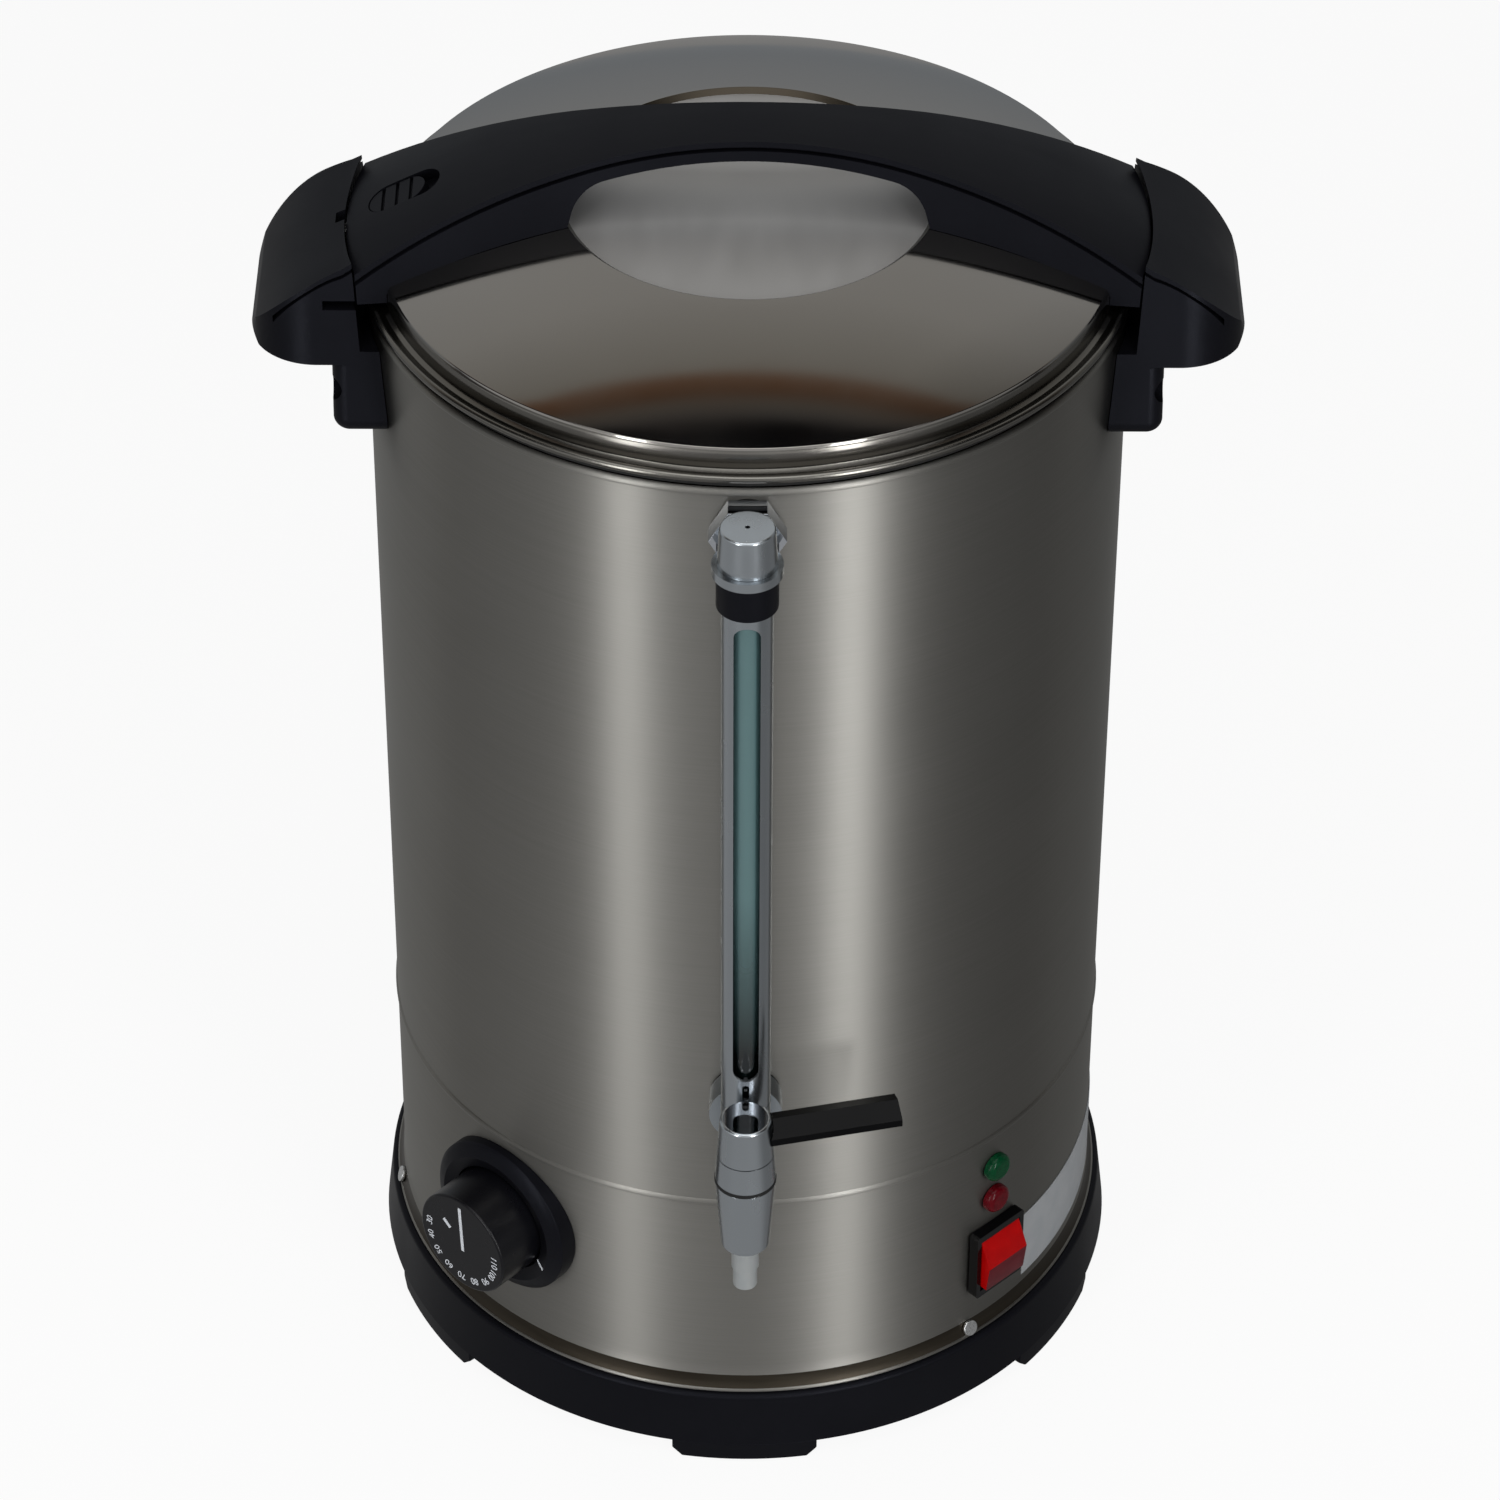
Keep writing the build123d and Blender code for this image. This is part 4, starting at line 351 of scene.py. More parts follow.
print("ring:", faces(ring), "faces")

# %% One foot
FOOT_SPAN = 22.5
FOOT_MIDDLE = 142.5
FOOT_DEEP = 10.0
FOOT_TALL = 8.4
FOOT_CHAMFER = 4.0
FOOT_EASE = 0.6
FOOT_STEPS = 12
CLOSE_TURN = 0.5
CLOSE_RISE = 0.5
FRONT = 270.0


def turned(piece, angle):
    """Turns a piece's mesh about the tank's axis, anticlockwise from above."""
    hold(piece)
    piece.rotation_euler = (0, 0, radians(angle))
    bpy.ops.object.transform_apply(location=True, rotation=True, scale=True)
    return piece


deselect()
bpy.ops.mesh.primitive_plane_add(size=1, location=(mm(FOOT_MIDDLE), 0, mm(FOOT_TALL / 2)),
                                 rotation=(pi / 2, 0, 0), scale=(1, 1, 1))
foot = bpy.context.active_object
foot.name = foot.data.name = "ring_foot_0"
foot.scale = (mm(FOOT_DEEP), mm(FOOT_TALL), 1)
bpy.ops.object.transform_apply(location=True, rotation=True, scale=True)
bpy.ops.object.mode_set(mode="EDIT")
bpy.ops.mesh.select_all(action="SELECT")
bpy.ops.mesh.spin(steps=FOOT_STEPS, angle=radians(FOOT_SPAN), center=(0, 0, 0), axis=(0, 0, 1))
bpy.ops.mesh.select_all(action="SELECT")
bpy.ops.mesh.remove_doubles(threshold=mm(SAME_PLACE))
bpy.ops.mesh.normals_make_consistent(inside=False)
bpy.ops.mesh.select_mode(type="EDGE")
bpy.ops.mesh.select_all(action="DESELECT")
bpy.ops.object.mode_set(mode="OBJECT")
for edge in foot.data.edges:
    near, far = (foot.data.vertices[index].co for index in edge.vertices)
    near_turn, far_turn = degrees(atan2(near.y, near.x)), degrees(atan2(far.y, far.x))
    at_end = min(abs(near_turn), FOOT_SPAN - abs(near_turn)) < CLOSE_TURN
    level = max(near.z, far.z) < mm(CLOSE_RISE)
    edge.select = at_end and level and abs(near_turn - far_turn) < CLOSE_TURN
bpy.ops.object.mode_set(mode="EDIT")
bpy.ops.mesh.bevel(offset=mm(FOOT_CHAMFER), segments=1)
bpy.ops.mesh.select_mode(type="VERT")
bpy.ops.object.mode_set(mode="OBJECT")
foot = turned(eased(foot, FOOT_EASE), FRONT + FOOT_SPAN / 2)
print("one foot:", faces(foot), "faces")

# %% Six feet
FOOT_COUNT = 6
feet = [foot]
for count in range(1, FOOT_COUNT):
    hold(foot)
    bpy.ops.object.duplicate()
    another = bpy.context.active_object
    another.name = another.data.name = f"ring_foot_{count}"
    feet.append(turned(another, FULL_TURN / FOOT_COUNT * count))
hold(foot)
for another in feet[1:]:
    another.select_set(True)
bpy.ops.object.join()
foot.name = foot.data.name = "ring_feet"
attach(foot, "urn_body")
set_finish(foot, "black_plastic")
print("feet:", FOOT_COUNT, "with", faces(foot), "faces in all")

# %% [markdown]
# ## The gasket
#
# A silicone ring fills the gap between the lid's channel and the jacket's rolled rim, and shows as
# a dark line all the way round.
# Its section is a small lip that bulges a little where the lid presses on it.

# %% Gasket
LIP_IN = 137.3
LIP_EASED = 138.6
LIP_OUT = 139.3
LIP_LOW = 473.3
LIP_TOP = 476.5
BULGE_LOW = 474.0
BULGE_TOP = 475.9

gasket_section = [(LIP_IN, LIP_LOW), (LIP_EASED, LIP_LOW), (LIP_OUT, BULGE_LOW), (LIP_OUT, BULGE_TOP)]
gasket_section += [(LIP_EASED, LIP_TOP), (LIP_IN, LIP_TOP), (LIP_IN, LIP_LOW)]
gasket = eased(spun("lid_seal", gasket_section), 0)
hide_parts("lid_gasket")
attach(gasket, "lid")
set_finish(gasket, "seal_rubber")
print("gasket:", faces(gasket), "faces")

# %% [markdown]
# ## Parts taken over from the model
#
# The handles, the tap, the gauge and the small fittings have the right shape in the CAD model, but
# its meshes are loose triangles with knife-sharp edges.
# Each shown part is copied, its triangles are joined into whole faces, and its edges get the
# radius that such a part has: about a millimetre on a handle, a tenth of one on a turned screw.
# The copy then stands for the CAD part and moves with the same body.

# %% Taking parts over
CAD_SAME_PLACE = 0.002
FLAT_ENOUGH = 0.4


def taken_over(node, edge, segments=EASE_STEPS):
    """Copies a CAD part as a clean piece with rounded edges, and lets it stand for that part."""
    source = frame["nodes"][node]
    body = source["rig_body"]
    piece = source.copy()
    piece.data = source.data.copy()
    piece.name = piece.data.name = node + "_dressed"
    del piece["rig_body"]
    del piece["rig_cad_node"]
    piece.parent = None
    bpy.context.scene.collection.objects.link(piece)
    hold(piece)
    bpy.ops.object.mode_set(mode="EDIT")
    bpy.ops.mesh.select_all(action="SELECT")
    bpy.ops.mesh.remove_doubles(threshold=mm(CAD_SAME_PLACE))
    bpy.ops.mesh.dissolve_limited(angle_limit=radians(FLAT_ENOUGH))
    bpy.ops.object.mode_set(mode="OBJECT")
    eased(piece, edge, segments)
    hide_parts(node)
    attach(piece, body)
    for subpart in frame["record"]["subparts"]:
        if subpart["node"] == node:
            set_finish(piece, subpart["material_slot"])
    return piece


print("points closer than", CAD_SAME_PLACE, "mm are joined")

# %% Edge radii, in millimetres
EDGES = {
    "lid_handle": 0.5, "lid_handle_cover": 0.5, "side_handle_right": 0.5, "side_handle_left": 0.5,
    "lock_slider": 0.2, "lock_bolt": 0.1, "knob_bezel": 0.5, "control_knob": 0.3,
    "tap_body": 0.2, "tap_head": 0.2, "tap_spout": 0.2, "tap_lever": 1.2, "tap_nozzle": 0.2,
    "tap_seal_ring": 0.1, "gauge_guard": 0.25, "gauge_top_body": 0, "gauge_cap": 0.2,
    "gauge_collar": 0.3, "gauge_nuts": 0.2, "gauge_glass": 0, "switch_housing": 0.3,
    "switch_rocker": 0.5, "lamp_green": 0.2, "lamp_red": 0.2, "rating_label": 0,
    "base_screws": 0.3, "side_handle_screws": 0.3, "cover_screws": 0.3, "bottom_cover": 0,
    "cable_gland": 0.3, "heating_element": 0, "tank_bottom": 0, "thermostat_bulb": 0.2,
    "element_bushes": 0.2, "lid_handle_screws": 0.2, "gauge_packings": 0, "thermostat_nut": 0.2,
    "tap_nut": 0.2, "side_handle_nuts": 0.2,
}
dressed = {node: taken_over(node, edge) for node, edge in EDGES.items()}
for node, piece in dressed.items():
    print(node, faces(piece))

# %% [markdown]
# ## Printed marks
#
# The thermostat knob carries nine numbers, a pointer line and a short off mark, pad printed in
# white, and its bezel has one white index line.
# A number starts as a text object. It is made a mesh while it still lies flat at the origin, and
# only then is it moved to the knob's face, so that the finished piece has its place in its mesh.
# Every mark is a tenth of a millimetre thick, which is thicker than ink but throws no shadow.

# %% A place that faces outwards
KNOB_AZIMUTH = -42.0
KNOB_Z = 94.2
KNOB_FACE = 165.3
INK = 0.1


def facing(azimuth, height, distance):
    """A place that faces straight out of the tank: x to its right, y up, z outwards."""
    turn = radians(azimuth)
    outward = Vector((sin(turn), -cos(turn), 0))
    across = Vector((cos(turn), sin(turn), 0))
    place = Matrix((across, Vector((0, 0, 1)), outward)).transposed().to_4x4()
    place.translation = outward * mm(distance) + Vector((0, 0, mm(height)))
    return place


def put(piece, place):
    """Moves a piece that lies at the origin to its place, into its mesh."""
    hold(piece)
    piece.matrix_world = place
    bpy.ops.object.transform_apply(location=True, rotation=True, scale=True)
    return piece


knob_face = facing(KNOB_AZIMUTH, KNOB_Z, KNOB_FACE)
print("knob faces", [round(value, 2) for value in knob_face.col[2][:3]])

# %% Numbers
NUMBER_R = 17.4
NUMBER_TALL = 4.3
FIRST_ANGLE = 174.0
NUMBER_STEP = 23.5
NUMBER_COUNT = 9
LOWEST_MARK = 30
MARK_STEP = 10
numbers = []
for count in range(NUMBER_COUNT):
    deselect()
    bpy.ops.object.text_add()
    number = bpy.context.active_object
    number.data.body = str(LOWEST_MARK + MARK_STEP * count)
    number.data.size = mm(NUMBER_TALL)
    number.data.align_x = "CENTER"
    number.data.align_y = "CENTER"
    number.data.extrude = mm(INK / 2)
    bpy.ops.object.convert(target="MESH")
    number = bpy.context.active_object
    angle = radians(FIRST_ANGLE + NUMBER_STEP * count)
    spot = Matrix.Translation((mm(NUMBER_R) * cos(angle), mm(NUMBER_R) * sin(angle), mm(INK / 2)))
    numbers.append(put(number, knob_face @ spot @ Matrix.Rotation(angle - pi / 2, 4, "Z")))
hold(numbers[0])
for number in numbers[1:]:
    number.select_set(True)
bpy.ops.object.join()
dial = numbers[0]
dial.name = dial.data.name = "dial_numbers"
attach(dial, "thermostat_knob")
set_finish(dial, "label_film")
print("numbers:", faces(dial), "faces")

# %% Lines
INK_EASE = 0.3


def printed_line(name, start, end, width, face, body):
    """A printed line between two points of a face, in millimetres, with rounded ends."""
    reach = sqrt((end[0] - start[0]) ** 2 + (end[1] - start[1]) ** 2)
    deselect()
    bpy.ops.mesh.primitive_cube_add(size=1)
    line = bpy.context.active_object
    line.name = line.data.name = name
    line.scale = (mm(reach), mm(width), mm(INK))
    bpy.ops.object.transform_apply(location=False, rotation=False, scale=True)
    eased(line, INK * INK_EASE, 2)
    middle = Vector((mm(start[0] + end[0]) / 2, mm(start[1] + end[1]) / 2, mm(INK / 2)))
    lean = atan2(end[1] - start[1], end[0] - start[0])
    put(line, face @ Matrix.Translation(middle) @ Matrix.Rotation(lean, 4, "Z"))
    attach(line, body)
    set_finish(line, "label_film")
    return line


print("lines are", INK, "mm thick")

# %% Pointer, off mark and index
pointer = printed_line("knob_pointer", start=(0.5, -3.6), end=(-0.7, 18.3), width=1.5,
                       face=knob_face, body="thermostat_knob")
off_mark = printed_line("knob_off_mark", start=(-9.5, 7.7), end=(-6.0, 4.8), width=1.7,
                        face=knob_face, body="thermostat_knob")
INDEX_ANGLE = radians(-24)
INDEX_R = 25.5
INDEX_FRONT = 145.75
BEZEL_SLOPE = radians(-17.7)
bezel_face = facing(KNOB_AZIMUTH, KNOB_Z, INDEX_FRONT) @ Matrix.Rotation(INDEX_ANGLE, 4, "Z")
bezel_face = bezel_face @ Matrix.Translation((mm(INDEX_R), 0, 0)) @ Matrix.Rotation(BEZEL_SLOPE, 4, "Y")
index = printed_line("bezel_index", start=(-2.4, 0), end=(2.4, 0), width=1.1, face=bezel_face,
                     body="urn_body")
print("pointer", faces(pointer), "off mark", faces(off_mark), "index", faces(index))

# %% [markdown]
# ## Colours and shader nodes
#
# Colours are written as the hex values that a paint chip or a picture editor gives, and shaders
# want linear light, so one function turns one into the other.
# A second adds a node with its settings and its links, and a third starts a finish.
# No real surface is even, so a fourth lays a noise over a finish. Its blotches have a real size in
# millimetres, which keeps every pattern at its true scale, and they let the roughness and the
# colour wander or raise the surface.

# %% Colours and nodes
def srgb(code):
    """A hex colour as linear red, green and blue, with full alpha."""
    channels = [int(code[start:start + 2], 16) / 255 for start in (0, 2, 4)]
    return [c / 12.92 if c <= 0.04045 else ((c + 0.055) / 1.055) ** 2.4 for c in channels] + [1]


def add_node(tree, kind, settings={}, links={}):
    """Adds a node with its settings, and links its inputs to (node, output) pairs."""
    made = tree.nodes.new(kind)
    for name, value in settings.items():
        if isinstance(name, str) and name not in made.inputs:
            setattr(made, name, value)
        else:
            made.inputs[name].default_value = value
    for name, (source, output) in links.items():
        tree.links.new(source.outputs[output], made.inputs[name])
    return made


print("mid grey 808080 is", round(srgb("808080")[0], 3), "in linear light")

# %% A finish and its grain
NOISE_LOW = 0.3
NOISE_HIGH = 0.7


def finish(name, code, roughness, sockets={}):
    """Starts a finish from its colour, its roughness and what is even all over it."""
    material = bpy.data.materials.new(name)
    material.use_nodes = True
    tree = material.node_tree
    shader = tree.nodes["Principled BSDF"]
    shader.inputs["Base Color"].default_value = srgb(code)
    shader.inputs["Roughness"].default_value = roughness
    for socket, value in sockets.items():
        shader.inputs[socket].default_value = value
    return material, (tree, shader, add_node(tree, "ShaderNodeTexCoord"))


def grain(surface, sizes, detail=2.0, roughness=None, colours=None, depth=0.0, strength=1.0):
    """Lays a noise over a finish, in blotches so many millimetres long in X, Y and Z."""
    tree, shader, place = surface
    stretch = add_node(tree, "ShaderNodeMapping", {"Scale": [1000 / size for size in sizes]},
                       {"Vector": (place, "Object")})
    noise = add_node(tree, "ShaderNodeTexNoise", {"Scale": 1.0, "Detail": detail},
                     {"Vector": (stretch, "Vector")})
    if roughness:
        spread = add_node(tree, "ShaderNodeMapRange", {
            "From Min": NOISE_LOW, "From Max": NOISE_HIGH, "To Min": roughness[0],
            "To Max": roughness[1]}, {"Value": (noise, 0)})
        tree.links.new(spread.outputs[0], shader.inputs["Roughness"])
    if colours:
        blend = add_node(tree, "ShaderNodeMix", {
            "data_type": "RGBA", 6: srgb(colours[0]), 7: srgb(colours[1])}, {0: (noise, 0)})
        tree.links.new(blend.outputs[2], shader.inputs["Base Color"])
    if depth:
        bump = add_node(tree, "ShaderNodeBump", {"Distance": mm(depth), "Strength": strength},
                        {"Height": (noise, 0)})
        tree.links.new(bump.outputs[0], shader.inputs["Normal"])


print("a noise is used between", NOISE_LOW, "and", NOISE_HIGH)

# %% [markdown]
# ## Stainless steel
#
# The jacket is austenitic stainless sheet, brushed along its length with a 180 grit belt before it
# was rolled, so its scratches run round the drum.
# Scratches that run one way spread a reflection across them: every lamp becomes a tall soft stripe
# down the tank. Anisotropy with a tangent that runs round the axis gives that.
# Real scratches are about 0.05 mm wide. They are drawn ten times as coarse, or the render would
# not show them.

# %% Brushed jacket
SCRATCH_WIDE = 0.5
SCRATCH_LONG = 45.0
QUARTER_TURN = 0.25
HANDLED = (90, 90, 60)
brushed, surface = finish("brushed_stainless_steel", "8C8B87", 0.46, {
    "Metallic": 1.0, "Anisotropic": 0.92, "Anisotropic Rotation": QUARTER_TURN})
tree, shader, place = surface
round_axis = add_node(tree, "ShaderNodeTangent", {"direction_type": "RADIAL", "axis": "Z"})
tree.links.new(round_axis.outputs[0], shader.inputs["Tangent"])
grain(surface, (SCRATCH_LONG, SCRATCH_LONG, SCRATCH_WIDE), colours=("878681", "918F8B"),
      depth=0.008, strength=0.4)
grain(surface, HANDLED, 4, roughness=(0.44, 0.49))
print("brushed jacket: scratches", SCRATCH_WIDE, "mm wide and", SCRATCH_LONG, "mm long")

# %% [markdown]
# The lid is the same steel, buffed to a near mirror, so it shows the room: pale behind it, dark
# above it.
# Its turned-down edge and curled rim are only rubbed down after rolling, and their colour is painted
# darker than the dome's, as painted shade; its sunk disc is bead blasted and nearly matt, and the
# tank's inside and bottom keep the dull mill finish.
# At the flare and round the disc the steel is painted a dull dark brown: painted shade and painted
# reflection of the dark room in those hollows.

# %% Polished, rolled, satin and mill finishes, with painted shade on the rolled edge, the flare and the disc's wall
polished, surface = finish("polished_stainless_steel", "918E8A", 0.1, {"Metallic": 1.0})
grain(surface, (30, 30, 30), 3, roughness=(0.07, 0.11), depth=0.015, strength=0.25)

# Partly a real rubbed finish, partly painted shade: the edge is coloured darker than the polished dome.
rolled_edge_painted_dark, surface = finish("rolled_edge_stainless_steel_painted_shade", "6E6C68", 0.21, {"Metallic": 1.0})
grain(surface, (25, 25, 6), 3, roughness=(0.18, 0.25), colours=("686661", "75736F"))

satin, surface = finish("satin_stainless_steel", "BEBEBC", 0.64, {"Metallic": 1.0})
grain(surface, (12, 60, 60), 3, roughness=(0.63, 0.69), colours=("B9B8B6", "C4C3C2"))

mill, surface = finish("mill_finish_stainless_steel", "8C8B89", 0.38, {"Metallic": 1.0})
grain(surface, (18, 18, 40), 3, roughness=(0.32, 0.46), colours=("83817E", "95938F"))

# Painted shade: dull dark brown steel for the jacket's flare and the wall round the sunk disc.
painted_shade_steel, surface = finish("stainless_steel_painted_shade", "3C372F", 0.34, {"Metallic": 1.0})
grain(surface, (30, 30, 3), 3, roughness=(0.30, 0.40), colours=("36312A", "443F37"))
print("steel finishes:", polished.name, rolled_edge_painted_dark.name, satin.name, mill.name, painted_shade_steel.name)

# %% [markdown]
# ## Plastics
#
# Handles and ring are moulded in black glass-filled polyamide against a mould with a fine spark
# finish. Its pits swallow much of the gloss and scatter the rest into a soft charcoal sheen, so
# its specular level is low.
# The knob is a smoother phenolic moulding, the switch frame and lamp collars are small glossy
# ones, and the tap's lever is buffed.
# Plastic has an index of refraction near 1.5, and black pigment hides everything below the skin.

# %% Black plastics
SPARK_GRAIN = 0.45
KNOB_GRAIN = 0.6
moulded, surface = finish("moulded_black_polyamide", "0A0A0E", 0.42, {
    "IOR": 1.5, "Specular IOR Level": 0.1, "Specular Tint": srgb("E4EAFF")})
grain(surface, (SPARK_GRAIN,) * 3, depth=0.012, strength=0.35)
grain(surface, (40, 40, 40), 3, roughness=(0.37, 0.47), colours=("08080B", "0D0D11"))

knob_black, surface = finish("moulded_black_phenolic", "09090D", 0.3, {
    "IOR": 1.55, "Specular IOR Level": 0.22})
grain(surface, (9, 9, 9), 3, roughness=(0.26, 0.34))
grain(surface, (KNOB_GRAIN,) * 3, depth=0.008, strength=0.3)

gloss_black, surface = finish("gloss_black_nylon", "040405", 0.14, {
    "IOR": 1.53, "Specular IOR Level": 0.25})
grain(surface, (6, 6, 6), 3, roughness=(0.11, 0.18))

polished_black, surface = finish("polished_black_phenolic", "040405", 0.13, {
    "IOR": 1.55, "Specular IOR Level": 0.07})
grain(surface, (7, 7, 7), 3, roughness=(0.10, 0.17))
print("spark grain", SPARK_GRAIN, "mm, knob grain", KNOB_GRAIN, "mm")

# %% [markdown]
# The rocker and the lamp lenses are clear polycarbonate dyed in the mass. Most light goes into them, so
# they look deep and dark, with only a weak gloss skin on top. The rocker's lower half is painted a
# darker red, as painted shade where it leans into its dark well.

# %% Coloured lenses
# Painted shade: a darker red for the rocker's lower half, where it leans into its well.
red_painted_shade, surface = finish("dyed_red_polycarbonate_painted_shade", "4A1218", 0.3, {
    "IOR": 1.58, "Specular IOR Level": 0.15})
grain(surface, (4, 4, 4), colours=("400E14", "581A20"))

red_switch, surface = finish("dyed_red_polycarbonate", "960202", 0.24, {
    "IOR": 1.58, "Specular IOR Level": 0.06, "Coat Weight": 0.03, "Coat Roughness": 0.06})
grain(surface, (5, 5, 5), colours=("8A0102", "A20303"))

green_lens, surface = finish("dyed_green_polycarbonate", "02301A", 0.18, {
    "IOR": 1.58, "Specular IOR Level": 0.08, "Coat Weight": 0.04, "Coat Roughness": 0.04})
grain(surface, (2, 2, 2), colours=("022614", "053E22"))

red_lens, surface = finish("dyed_dark_red_polycarbonate", "4A040E", 0.18, {
    "IOR": 1.58, "Specular IOR Level": 0.08, "Coat Weight": 0.04, "Coat Roughness": 0.04})
grain(surface, (2, 2, 2), colours=("380208", "580610"))
print("lenses:", red_switch.name, green_lens.name, red_lens.name)

# %% [markdown]
# ## Plated fittings
#
# The tap and the gauge are zinc castings with a satin chrome plate: blasted fine before plating,
# so they are bluish and softly bright.
# The tap's top disc and the gauge's nuts were faced and polished, and mirror the room.
# The plug and the nut behind the wall are bare brass, and the screws are zinc plated steel.

# %% Chrome, brass and screws
BLAST_GRAIN = 0.5
TOOL_MARK = 0.4
satin_chrome, surface = finish("satin_chrome_plate", "AEB4B9", 0.25, {"Metallic": 1.0})
grain(surface, (BLAST_GRAIN,) * 3, depth=0.008, strength=0.3)
grain(surface, (8, 8, 20), 3, roughness=(0.21, 0.29))

mirror_chrome, surface = finish("polished_chrome_plate", "C6CAD0", 0.05, {"Metallic": 1.0})
grain(surface, (4, 4, 4), roughness=(0.03, 0.08))

brass, surface = finish("turned_brass", "B08A48", 0.28, {"Metallic": 1.0})
grain(surface, (20, 20, TOOL_MARK), roughness=(0.22, 0.34), colours=("A27C3C", "BC9856"))

zinc, surface = finish("zinc_plated_steel", "CFD0D0", 0.3, {"Metallic": 1.0})
grain(surface, (1.5, 1.5, 1.5), 3, colours=("C2C4C6", "DBDBD9"))
grain(surface, (1, 1, 1), roughness=(0.24, 0.38))
print("plates:", satin_chrome.name, mirror_chrome.name, brass.name, zinc.name)

# %% [markdown]
# ## Glass, rubber and small materials
#
# The gauge's tube is borosilicate glass, greenish blue through its own thickness. Its colour is painted
# nearly black at its foot, as painted shade where it stands in the tap's casting, and paler higher up,
# as painted light where light comes in.
# The seals are black silicone, the nozzle is the same rubber left cloudy, and the inner blocks are
# phenolic or steatite.
# The label is a silvered polyester film, and the marks are white pad printing ink.

# %% Glass
GLASS_LOW = 0.232
GLASS_HIGH = 0.31
sight_glass, surface = finish("borosilicate_glass", "7A9A98", 0.06, {
    "IOR": 1.47, "Transmission Weight": 0.35, "Coat Weight": 0.6, "Coat Roughness": 0.03})
tree, shader, place = surface
# Painted shade and light: the glass's colour runs from nearly black at its foot to pale higher up.
where = add_node(tree, "ShaderNodeSeparateXYZ", {}, {0: (place, "Object")})
rising = add_node(tree, "ShaderNodeMapRange", {"From Min": GLASS_LOW, "From Max": GLASS_HIGH},
                  {"Value": (where, "Z")})
painted_shade_and_light_tone = add_node(tree, "ShaderNodeMix", {
    "data_type": "RGBA", 6: srgb("060C0C"), 7: srgb("5A787A")}, {0: (rising, 0)})
tree.links.new(painted_shade_and_light_tone.outputs[2], shader.inputs["Base Color"])
grain(surface, (6, 6, 50), 3, roughness=(0.04, 0.14))
print("glass: dark below", GLASS_LOW, "m, pale above", GLASS_HIGH, "m")

# %% Rubber, ceramic, film and ink
rubber, surface = finish("black_silicone_rubber", "0C0C0C", 0.6, {"IOR": 1.43})
grain(surface, (3, 3, 3), roughness=(0.5, 0.7))

clear_rubber, surface = finish("clear_silicone_rubber", "9CA2A6", 0.3, {
    "IOR": 1.43, "Transmission Weight": 0.35})
grain(surface, (5, 5, 8), colours=("949A9E", "A8AAA8"))

ceramic, surface = finish("pressed_steatite", "C9C2B2", 0.55, {"IOR": 1.55})
grain(surface, (2, 2, 2), 3, colours=("BDB5A4", "D6D0C2"))

incoloy, surface = finish("oxidised_heater_sheath", "5C5A58", 0.45, {"Metallic": 1.0})
grain(surface, (10, 10, 10), 4, colours=("4A4744", "6E6A62"))
grain(surface, (4, 4, 4), roughness=(0.36, 0.56))

film, surface = finish("silvered_polyester_film", "9EA2A6", 0.4, {"IOR": 1.6, "Metallic": 0.35})
grain(surface, (9, 9, 9), 3, colours=("959A9F", "ABADAF"))
grain(surface, (14, 14, 14), 3, roughness=(0.34, 0.46))

ink, surface = finish("white_pad_printing_ink", "C4C8CE", 0.5, {"IOR": 1.5})
grain(surface, (1.2, 1.2, 1.2), colours=("AEB2B9", "D2D5DA"))
print("materials made:", len(bpy.data.materials))

# %% [markdown]
# ## Dressing the parts
#
# The model's record says which slot each part belongs to, so one table of slots dresses every
# carried-over part, also the ones that only show when the lid is off.
# A few pieces have more than one finish: the lid's disc and edge, the jacket's flare and inside, the
# rocker's lower half, and the polished top of the tap. The darker colours on the lid's edge, the disc's
# wall, the flare and the rocker's lower half are painted shade. Their faces are found by their place
# and by the way they face.

# %% Slots to finishes
FINISHES = {
    "brushed_steel": brushed, "inner_steel": mill, "polished_steel": polished,
    "black_plastic": moulded, "knob_plastic": knob_black, "switch_plastic": gloss_black,
    "red_plastic": red_switch, "satin_chrome": satin_chrome, "brass": brass, "screw_steel": zinc,
    "seal_rubber": rubber, "sight_glass": sight_glass, "nozzle_plastic": clear_rubber,
    "ceramic": ceramic, "green_lens": green_lens, "red_lens": red_lens, "lamp_black": gloss_black,
    "label_film": film,
}


def dress(piece, material):
    """Gives every material slot of a piece the same finish."""
    if not piece.data.materials:
        piece.data.materials.append(material)
    for holder in piece.material_slots:
        holder.material = material


for subpart in frame["record"]["subparts"]:
    dress(frame["nodes"][subpart["node"]], FINISHES[subpart["material_slot"]])
for node, piece in dressed.items():
    dress(piece, FINISHES[piece["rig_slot"]])
for piece in (jacket, lid, ring, foot, gasket):
    dress(piece, FINISHES[piece["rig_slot"]])
for piece in (dial, pointer, off_mark, index):
    dress(piece, ink)
dress(dressed["heating_element"], incoloy)
dress(dressed["tap_lever"], polished_black)
dress(dressed["gauge_nuts"], mirror_chrome)
print("pieces dressed:", len(dressed) + 9)

# %% Faces with a finish of their own
DARK_FROM_Z = 34.7
DARK_TO_Z = 40.0
ROCKER_MIDDLE = 71.0
TAP_TOP_Z = 214.0
FACING_UP = 0.95
FACING_IN = -0.5
LEVEL = 0.99


def refinish(piece, material, chosen):
    """Gives the faces that a test picks another finish, and says how many."""
    piece.data.materials.append(material)
    picked = [face for face in piece.data.polygons if chosen(face)]
    for face in picked:
        face.material_index = len(piece.data.materials) - 1
    return len(picked)


def from_axis(face):
    """How far a face's middle is from the tank's axis."""
    return Vector(face.center[:2]).length


def on_disc(face):
    return face.center.z > mm(DISC_FLOOR - 0.5) and from_axis(face) < mm(DISC_R - 0.2)


